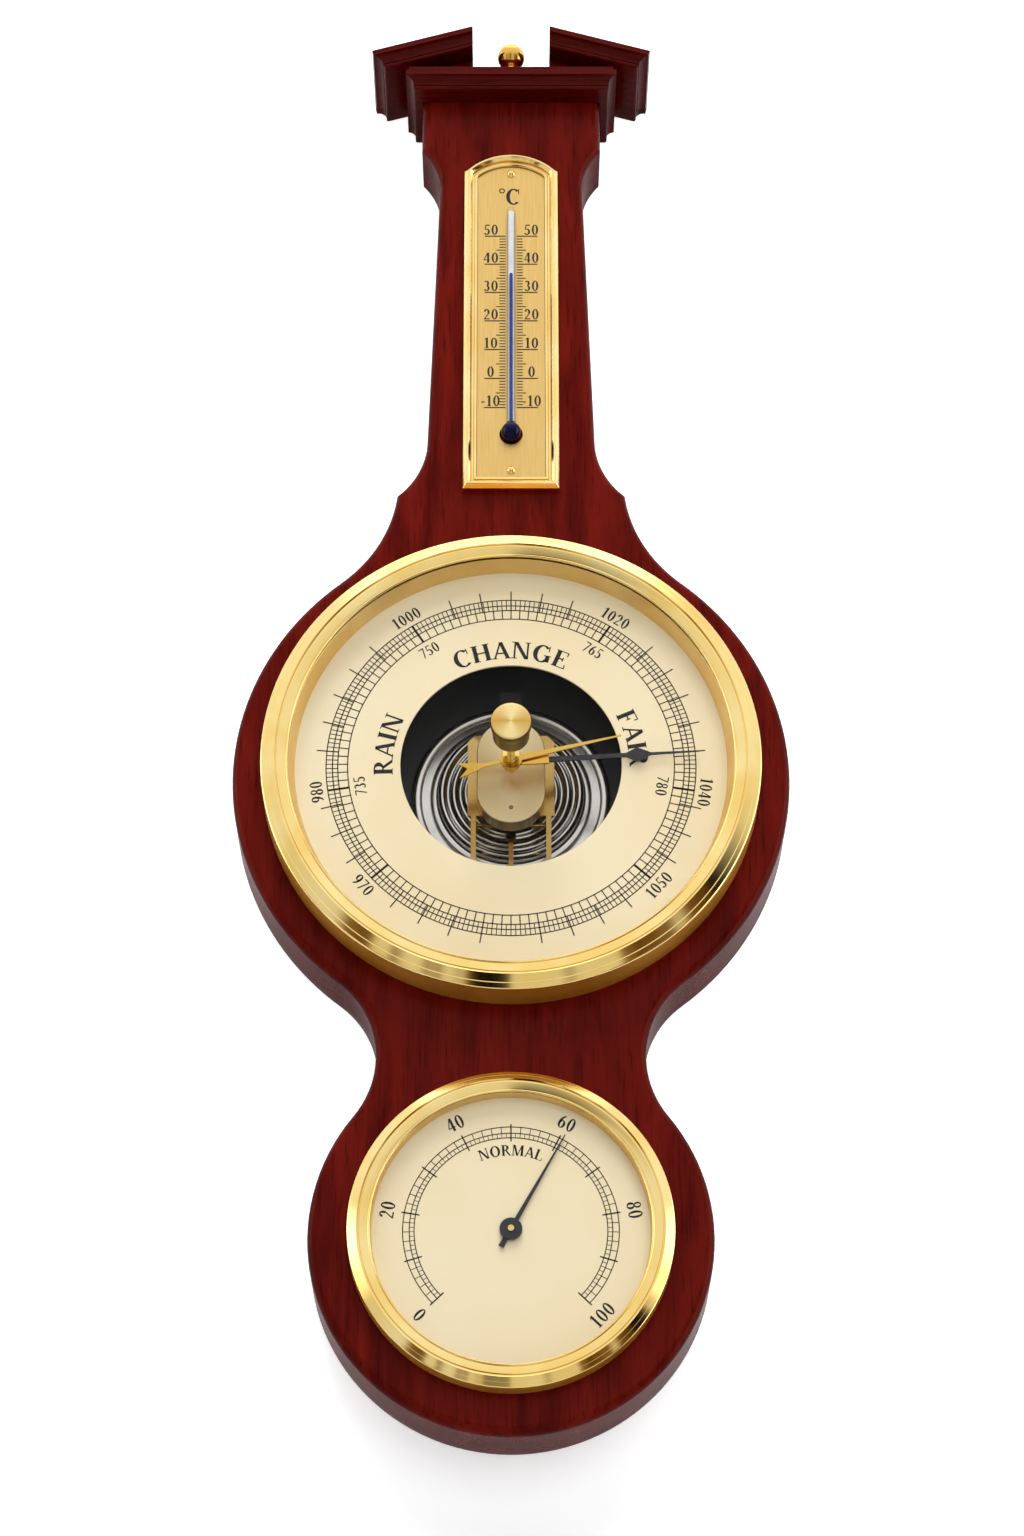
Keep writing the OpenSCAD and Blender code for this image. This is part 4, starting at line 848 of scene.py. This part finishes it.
# Each sign's width and outlines
def serifShapes():
    wide, thin, bold, foot, arm = (serif[key] for key in ("thick", "thin", "number", "foot", "arm"))
    main = post(0.17, wide)
    mainFoot = footBar(0.02, 0.32)
    mainHead = headBar(0.02, 0.32)
    middleArm = [bar(0.17, 0.44, 0.52, thin), post(0.43, foot, 0.4, 0.64)]
    hook = post(0.73, foot, 0.68, 1)
    shapes = {
        "I": (0.34, [main, mainFoot, mainHead]),
        "H": (0.86, [main, mainFoot, mainHead, post(0.69, wide), bar(0.17, 0.69, 0.5, thin),
                     footBar(0.54, 0.84), headBar(0.54, 0.84)]),
        "N": (0.88, [post(0.15, thin), post(0.73, thin), stem(0.69, 0, 0.19, 1, 0.18), footBar(0.03, 0.27),
                     headBar(0, 0.24), headBar(0.61, 0.85)]),
        "M": (1.02, [post(0.14, thin), post(0.85, wide), stem(0.48, 0, 0.2, 1, 0.17),
                     stem(0.48, 0, 0.82, 1, thin), footBar(0.02, 0.26), footBar(0.72, 0.98),
                     headBar(0.02, 0.2), headBar(0.8, 0.98)]),
        "A": (0.82, [stem(0.11, 0, 0.4, 1, thin), stem(0.7, 0, 0.41, 1, 0.17), bar(0.21, 0.6, 0.33, thin),
                     footBar(0, 0.22), footBar(0.56, 0.84)]),
        "R": (0.8, [main, mainFoot, headBar(0.02, 0.3), bow(0.34, 0.74, 0.28, 0.26, wide, -90, 90),
                    bar(0.17, 0.34, 0.97, thin), bar(0.17, 0.36, 0.51, thin), stem(0.69, 0, 0.38, 0.5, 0.15),
                    footBar(0.62, 0.8)]),
        "F": (0.66, [main, mainFoot, headBar(0.02, 0.58, arm), post(0.57, foot, 0.76, 1)] + middleArm),
        "E": (0.72, [main, headBar(0.02, 0.6, arm), post(0.58, foot, 0.76, 1)] + middleArm
              + [footBar(0.02, 0.62, arm), stem(0.63, 0, 0.61, 0.25, foot)]),
        "L": (0.68, [main, mainHead, footBar(0.02, 0.62, arm), stem(0.63, 0, 0.61, 0.27, foot)]),
        "C": (0.82, [bow(0.45, 0.5, 0.41, 0.53, serif["round"], 46, 314), hook]),
        "G": (0.92, [bow(0.45, 0.5, 0.41, 0.53, serif["round"], 46, 320), hook, post(0.72, wide, 0.05, 0.42),
                     bar(0.55, 0.87, 0.42, foot)]),
        "O": (0.9, [bow(0.45, 0.5, 0.42, 0.53, serif["round"])]),
        "0": (0.6, [bow(0.3, 0.5, 0.27, 0.51, bold)]),
        "1": (0.5, [post(0.27, bold), stem(0.09, 0.8, 0.22, 0.97, 0.07), bar(0.1, 0.44, 0.03, 0.06)]),
        "2": (0.58, [bow(0.28, 0.71, 0.24, 0.3, bold, 170, -28), stem(0.11, 0.07, 0.45, 0.59, 0.1),
                     bar(0.06, 0.53, 0.05, 0.1)]),
        "3": (0.56, [bow(0.25, 0.75, 0.22, 0.26, bold, 150, -85),
                     bow(0.25, 0.27, 0.26, 0.28, bold, 85, -150)]),
        "4": (0.6, [post(0.4, bold), stem(0.06, 0.28, 0.37, 1, thin), bar(0.03, 0.57, 0.28, 0.07)]),
        "5": (0.56, [bar(0.14, 0.5, 0.95, 0.1), stem(0.12, 0.52, 0.17, 0.98, thin),
                     bow(0.25, 0.3, 0.27, 0.31, bold, 118, -150)]),
        "6": (0.58, [bow(0.29, 0.3, 0.26, 0.31, bold), bow(0.53, 0.34, 0.5, 0.68, bold, 184, 110)]),
        "7": (0.56, [bar(0.05, 0.54, 0.95, 0.1), stem(0.2, 0, 0.49, 0.93, 0.11)]),
        "8": (0.58, [bow(0.29, 0.75, 0.22, 0.26, 0.13), bow(0.29, 0.27, 0.26, 0.28, bold)]),
        "-": (0.36, [bar(0.03, 0.31, 0.38, 0.1)]),
    }
    wide, outlines = shapes["6"]
    shapes["9"] = (wide, [[(wide - x, 1 - y) for x, y in outline] for outline in outlines])
    return shapes


# Each letter is drawn once, large, and filled, and the dials take copies of it
letters = {}
letterScale = 10
for sign, (wide, outlines) in serifShapes().items():
    parts = []
    for outline in outlines:
        parts.append(fillOutline("letter", [(letterScale * x, letterScale * y, 0) for x, y in outline]))
        deselect()
    letters[sign] = (wide, joinPieces(parts))


# A number or word, its middle at a place and turned clockwise, or bent round a dial at a radius
def printText(page, words, size, radius=0, turn=0, flip=False, bent=False, stretch=1, centre=None):
    widths = [(letters[sign][0] + serif["gap"]) * stretch for sign in words]
    along = -sum(widths) * size / 2
    for sign, wide in zip(words, widths):
        spot = along + wide * size / 2
        along += wide * size
        lean = turn + (degrees(spot / radius) if bent else 0)
        here = Vector(onDial(radius, lean)) + Vector(centre or page["centre"])
        copy = letters[sign][1].copy()
        copy.data = copy.data.copy()
        bpy.context.scene.collection.objects.link(copy)
        shift = 0 if bent else spot
        copy.matrix_world = (
            Matrix.Translation((here.x, here.y, page["height"]))
            @ Matrix.Rotation(-radians(lean + (180 if flip else 0)), 4, "Z")
            @ Matrix.Translation((shift - letters[sign][0] * stretch * size / 2, -size / 2, 0))
            @ Matrix.Diagonal((size * stretch / letterScale, size / letterScale, 1, 1))
        )
        page["parts"].append(copy)


# All the ink of one dial becomes one mesh that faces the front
def hangInk(name, page):
    piece = joinPieces(page["parts"])
    piece.name = name
    toMode("EDIT")
    bpy.ops.mesh.select_mode(type="FACE")
    bpy.ops.mesh.select_all(action="DESELECT")
    toMode("OBJECT")
    for face in piece.data.polygons:
        face.select = face.normal.z < 0
    toMode("EDIT")
    bpy.ops.mesh.flip_normals()
    applyModifier(piece, "SOLIDIFY", thickness=ink["thick"], offset=-1)
    standOnWall(piece)
    dressPiece(piece, "case", blackInkAndShade)


# Barometer scale: four circles, two rows of fine ticks as (inner, outer, width, count), long ticks outward
mainPrint = {
    "height": 24.83, "circles": (48.9, 47.2, 45.8, 43.2), "line": 0.3, "fine": (45.8, 48.9, 0.24, 240),
    "wider": (43.2, 45.8, 0.3, 120), "long": (45.8, 51.6, 0.34), "longTurns": (-171, 9.5, 37), "clear": 5,
    "bold": (43.2, 48.9, 0.6), "number": 3.3, "numberRadius": 51.8, "small": 3.036, "smallRadius": 40.3,
    "word": 5.0, "wordRadius": 33.8, "wordWide": 1.2,
    "outer": ((-132, "970"), (-99, "980"), (-33, "1000"), (33, "1020"), (99, "1040"), (132, "1050")),
    "inner": ((-99, "735"), (-33, "750"), (33, "765"), (99, "780")),
    "words": ((-80, "RAIN"), (0, "CHANGE"), (77, "FAIR")),
}
upsideDown = 100  # numbers turned further than this are printed feet outward
p = mainPrint
page = newPage((0, 0), p["height"])
for radius in p["circles"]:
    ringLine(page, radius, p["line"])
for inner, outer, width, count in (p["fine"], p["wider"]):
    tickRow(page, inner, outer, width, 0, 360 - 360 / count, count)
firstTurn, turnStep, turnCount = p["longTurns"]
for turn in [firstTurn + turnStep * i for i in range(turnCount)]:
    if min(abs(turn - other) for other, words in p["outer"]) > p["clear"]:
        tickRow(page, *p["long"], turn, turn, 1)
for turn, words in p["outer"]:
    tickRow(page, *p["bold"], turn, turn, 1)
    printText(page, words, p["number"], p["numberRadius"], turn, abs(turn) > upsideDown)
for turn, words in p["inner"]:
    printText(page, words, p["small"], p["smallRadius"], turn)
for turn, words in p["words"]:
    printText(page, words, p["word"], p["wordRadius"], turn, bent=True, stretch=p["wordWide"])
hangInk("mainDialPrint", page)

# Hygrometer scale: three arcs, rows of ticks as above, numbers and one word
hygroPrint = {
    "height": 22.63, "arcs": (27.06, 25.4, 24.2), "line": 0.26, "reach": 134,
    "ticks": ((24.2, 25.4, 0.16, 101), (25.4, 27.06, 0.2, 51), (23.2, 27.8, 0.36, 11)),
    "number": 3.6, "numberRadius": 31.4, "numbers": ("0", "20", "40", "60", "80", "100"),
    "word": 2.8, "wordRadius": 20.9, "wordWide": 1.1,
}
p = hygroPrint
page = newPage(footCentre, p["height"])
for radius in p["arcs"]:
    ringLine(page, radius, p["line"], -p["reach"], p["reach"], 140)
for inner, outer, width, count in p["ticks"]:
    tickRow(page, inner, outer, width, -p["reach"], p["reach"], count)
for i, words in enumerate(p["numbers"]):
    turn = -p["reach"] + 2 * p["reach"] * i / (len(p["numbers"]) - 1)
    printText(page, words, p["number"], p["numberRadius"], turn, abs(turn) > upsideDown)
printText(page, "NORMAL", p["word"], p["wordRadius"], bent=True, stretch=p["wordWide"])
hangInk("hygroDialPrint", page)

# Thermometer scale: a line at each ten, ticks at each degree and numbers, on both sides of the tube
tubePrint = {
    "height": 21.23, "zero": 120.9, "degree": 0.945, "low": -10, "high": 50, "line": 0.3, "tenLine": 0.36,
    "start": 1.55, "ten": 7.5, "five": 4.2, "one": 3.3, "number": 3.4, "numberPlace": (5.75, 2.2),
    "sign": 5.2, "signPlace": (0.5, 181.6), "ring": 0.68, "ringLine": 0.34, "ringPlace": (-2.6, 183.6),
}
p = tubePrint
page = newPage((0, 0), p["height"])
for degree in range(p["low"], p["high"] + 1):
    y = p["zero"] + degree * p["degree"]
    ten = degree % 10 == 0
    reach = p["ten"] if ten else p["five"] if degree % 5 == 0 else p["one"]
    for side in (-1, 1):
        corners = bar(side * p["start"], side * reach, y, p["tenLine"] if ten else p["line"])
        page["parts"].append(fillOutline("degree", [(*corner, p["height"]) for corner in corners]))
        deselect()
        if ten:
            place = (side * p["numberPlace"][0], y + p["numberPlace"][1])
            printText(page, str(degree), p["number"], centre=place)
printText(page, "C", p["sign"], centre=p["signPlace"])
ringLine(page, p["ring"], p["ringLine"], steps=24, centre=p["ringPlace"])
hangInk("thermometerPrint", page)
deselect()
for wide, drawn in letters.values():
    drawn.select_set(True)
bpy.ops.object.delete()
print("dials printed")

# CAD solids that stay as they are, with their finishes
plainNodes = (
    (brushedBrass, ("thermometer_plate",)), (creamEnamel, ("main_dial", "hygro_dial")),
    (clearGlass, ("main_glass", "hygro_glass")), (blackTin, ("main_can", "hygro_can")),
    (nickelPlate, ("main_can_screws", "hygro_can_screws")), (bluedSteel, ("hairspring",)),
    (humidityStrip, ("humidity_coil",)),
    (polishedBrass, ("glass_bush", "capsule_post", "sector", "pressure_arbor", "hygro_frame", "hygro_arbor")),
)
for finish, nodes in plainNodes:
    for node in nodes:
        mesh = frame["nodes"][node].data
        mesh.materials.clear()
        mesh.materials.append(finish)

# Stage: a pale wall behind and a pale floor far below; glow is (height, height, strength at each)
stage = {
    "wallGap": 0.0004, "size": 6, "floor": -1.6, "glow": (-0.36, -0.27, 0.17, 0.8), "glowMirrored": 0.1,
    "nearBy": 0.004, "glowNear": 0.5, "glowFloor": 0.5,
}


def stagePlane(name, place, tilt, paintName, shade):
    deselect()
    bpy.ops.mesh.primitive_plane_add(size=stage["size"], location=place, rotation=(tilt, 0, 0))
    plane = bpy.context.object
    plane.name = name
    finish = bpy.data.materials.new(paintName)
    plane.data.materials.append(finish)
    add = newNodes(finish)
    paint = add("BsdfDiffuse", {"Color": linearColour(shade)})
    return plane, add, paint, add("LightPath")


# Wall paint: glows for the camera, less at the foot, so it renders white and still takes a shadow
wall, add, paint, path = stagePlane("wall", (0, stage["wallGap"], 0), pi / 2, "paleWall", "#f4f4f4")
side = add("NewGeometry")
rise = add("SeparateXYZ", links={0: side.outputs["Position"]})
fade = add("MapRange", rangeOf(stage["glow"]), {"Value": rise.outputs["Z"]})
mirrored = add("Math", {1: stage["glowMirrored"]}, {0: path.outputs["Is Glossy Ray"]},
               {"operation": "MULTIPLY"})
shown = add("Math", None, {0: path.outputs["Is Camera Ray"], 1: fade, 2: mirrored},
            {"operation": "MULTIPLY_ADD"})
glow = add("Emission", links={"Strength": shown})
both = add("AddShader", links={0: paint, 1: glow})
clear = add("BsdfTransparent")
# Close by it glows evenly, to light the back of the case, and from behind it is clear
near = add("Math", {1: stage["nearBy"]}, {0: path.outputs["Ray Length"]}, {"operation": "LESS_THAN"})
nearGlow = add("Emission", {"Strength": stage["glowNear"]})
front = add("MixShader", links={0: near, 1: both, 2: nearGlow})
oneWay = add("MixShader", links={0: side.outputs["Backfacing"], 1: front, 2: clear})
add("OutputMaterial", links={"Surface": oneWay})

# Floor paint: the same glow for the camera alone
floor, add, paint, path = stagePlane("floor", (0, 0, stage["floor"]), 0, "paleFloor", "#ececec")
shown = add("Math", {1: stage["glowFloor"]}, {0: path.outputs["Is Camera Ray"]}, {"operation": "MULTIPLY"})
glow = add("Emission", links={"Strength": shown})
both = add("AddShader", links={0: paint, 1: glow})
add("OutputMaterial", links={"Surface": both})
floor.visible_glossy = False
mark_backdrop(wall, floor)

# Soft light from above and in front, as (place, size, power), hidden from mirrors
lights = {"key": ((-0.05, -0.85, 1.4), 1.1, 26.5), "fill": ((0.3, -1.6, 0.1), 1.4, 11.5)}
lightAim = Vector((0, 0, -0.15))
for name, (spot, size, power) in lights.items():
    bpy.ops.object.light_add(type="AREA", location=spot)
    lamp = bpy.context.object
    lamp.name = name
    lamp.data.size = size
    lamp.data.energy = power
    lamp.visible_glossy = False
    lamp.rotation_euler = (lightAim - Vector(spot)).to_track_quat("-Z", "Y").to_euler()

# Studio: white for the camera; for metal an overhead soft box, side boxes, a bright room, and dark strips
# low down that streak the bezels; ranges are (from, to, strength at each)
studio = {
    "sky": 0.5, "room": (-0.1, 0.6, 0.8, 1.08), "softBox": (0.86, 0.95, 0, 1.2), "sideBox": (0.84, 0.9, 0, 3),
    "strips": 4.6, "upright": (-1, 1, 0, 1),
    "cards": ((0.4, "#140c04"), (0.46, "#8d6a38"), (0.52, "#ffffff")),
    "stripZone": ((0.08, "#000000"), (0.16, "#ffffff"), (0.46, "#ffffff"), (0.64, "#000000")),
}
world = bpy.data.worlds.new("studio")
bpy.context.scene.world = world
add = newNodes(world)
sky = add("Background", {"Strength": studio["sky"]})
white = add("Background", {"Strength": 1})
path = add("LightPath")
mirrored = path.outputs["Is Glossy Ray"]
straight = {0: path.outputs["Is Camera Ray"], 1: path.outputs["Is Transmission Ray"]}
through = add("Math", None, straight, {"operation": "MAXIMUM"})
seen = add("Math", None, {0: through, 1: mirrored}, {"operation": "MAXIMUM"})
way = add("TexCoord")
parts = add("SeparateXYZ", links={0: way.outputs["Generated"]})
upward = parts.outputs["Z"]
aside = add("Math", None, {0: parts.outputs["X"]}, {"operation": "ABSOLUTE"})
ranges = {}
for name, source in (("room", upward), ("softBox", upward), ("sideBox", aside), ("upright", upward)):
    ranges[name] = add("MapRange", rangeOf(studio[name]), {"Value": source})
boxes = add("Math", None, {0: ranges["softBox"], 1: ranges["sideBox"]}, {"operation": "ADD"})
level = add("Math", None, {0: ranges["room"], 1: boxes}, {"operation": "ADD"})
strips = add("TexNoise", {"Scale": studio["strips"], "Detail": 2}, {"W": parts.outputs["X"]},
             {"noise_dimensions": "1D"})
cards = add("ValToRGB", links={"Fac": strips}, stops=studio["cards"])
below = add("ValToRGB", links={"Fac": ranges["upright"]}, stops=studio["stripZone"])
streaked = add("Mix", {6: (1, 1, 1, 1)}, {0: below, 7: cards}, {"data_type": "RGBA"})
add("Mix", {6: (1, 1, 1, 1)}, {0: mirrored, 7: streaked}, {"data_type": "RGBA"}, to=(white, "Color"))
add("Mix", {2: 1}, {0: mirrored, 3: level}, {"data_type": "FLOAT"}, to=(white, "Strength"))
mixed = add("MixShader", links={0: seen, 1: sky, 2: white})
add("OutputWorld", links={"Surface": mixed})
print("stage, light and studio done")

# Camera: below the barometer, looking up at it as the photograph does
eye = {"place": (0.00026, -0.86505, -0.54256), "tilt": 0.436, "lens": 82.2, "sensor": 36}
bpy.ops.object.camera_add(location=eye["place"], rotation=(pi / 2 + eye["tilt"], 0, 0))
camera = bpy.context.object
camera.data.lens = eye["lens"]
camera.data.sensor_width = eye["sensor"]
bpy.context.scene.camera = camera
bpy.context.scene.view_settings.view_transform = "Standard"
deselect()

low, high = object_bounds()
print("scene done")
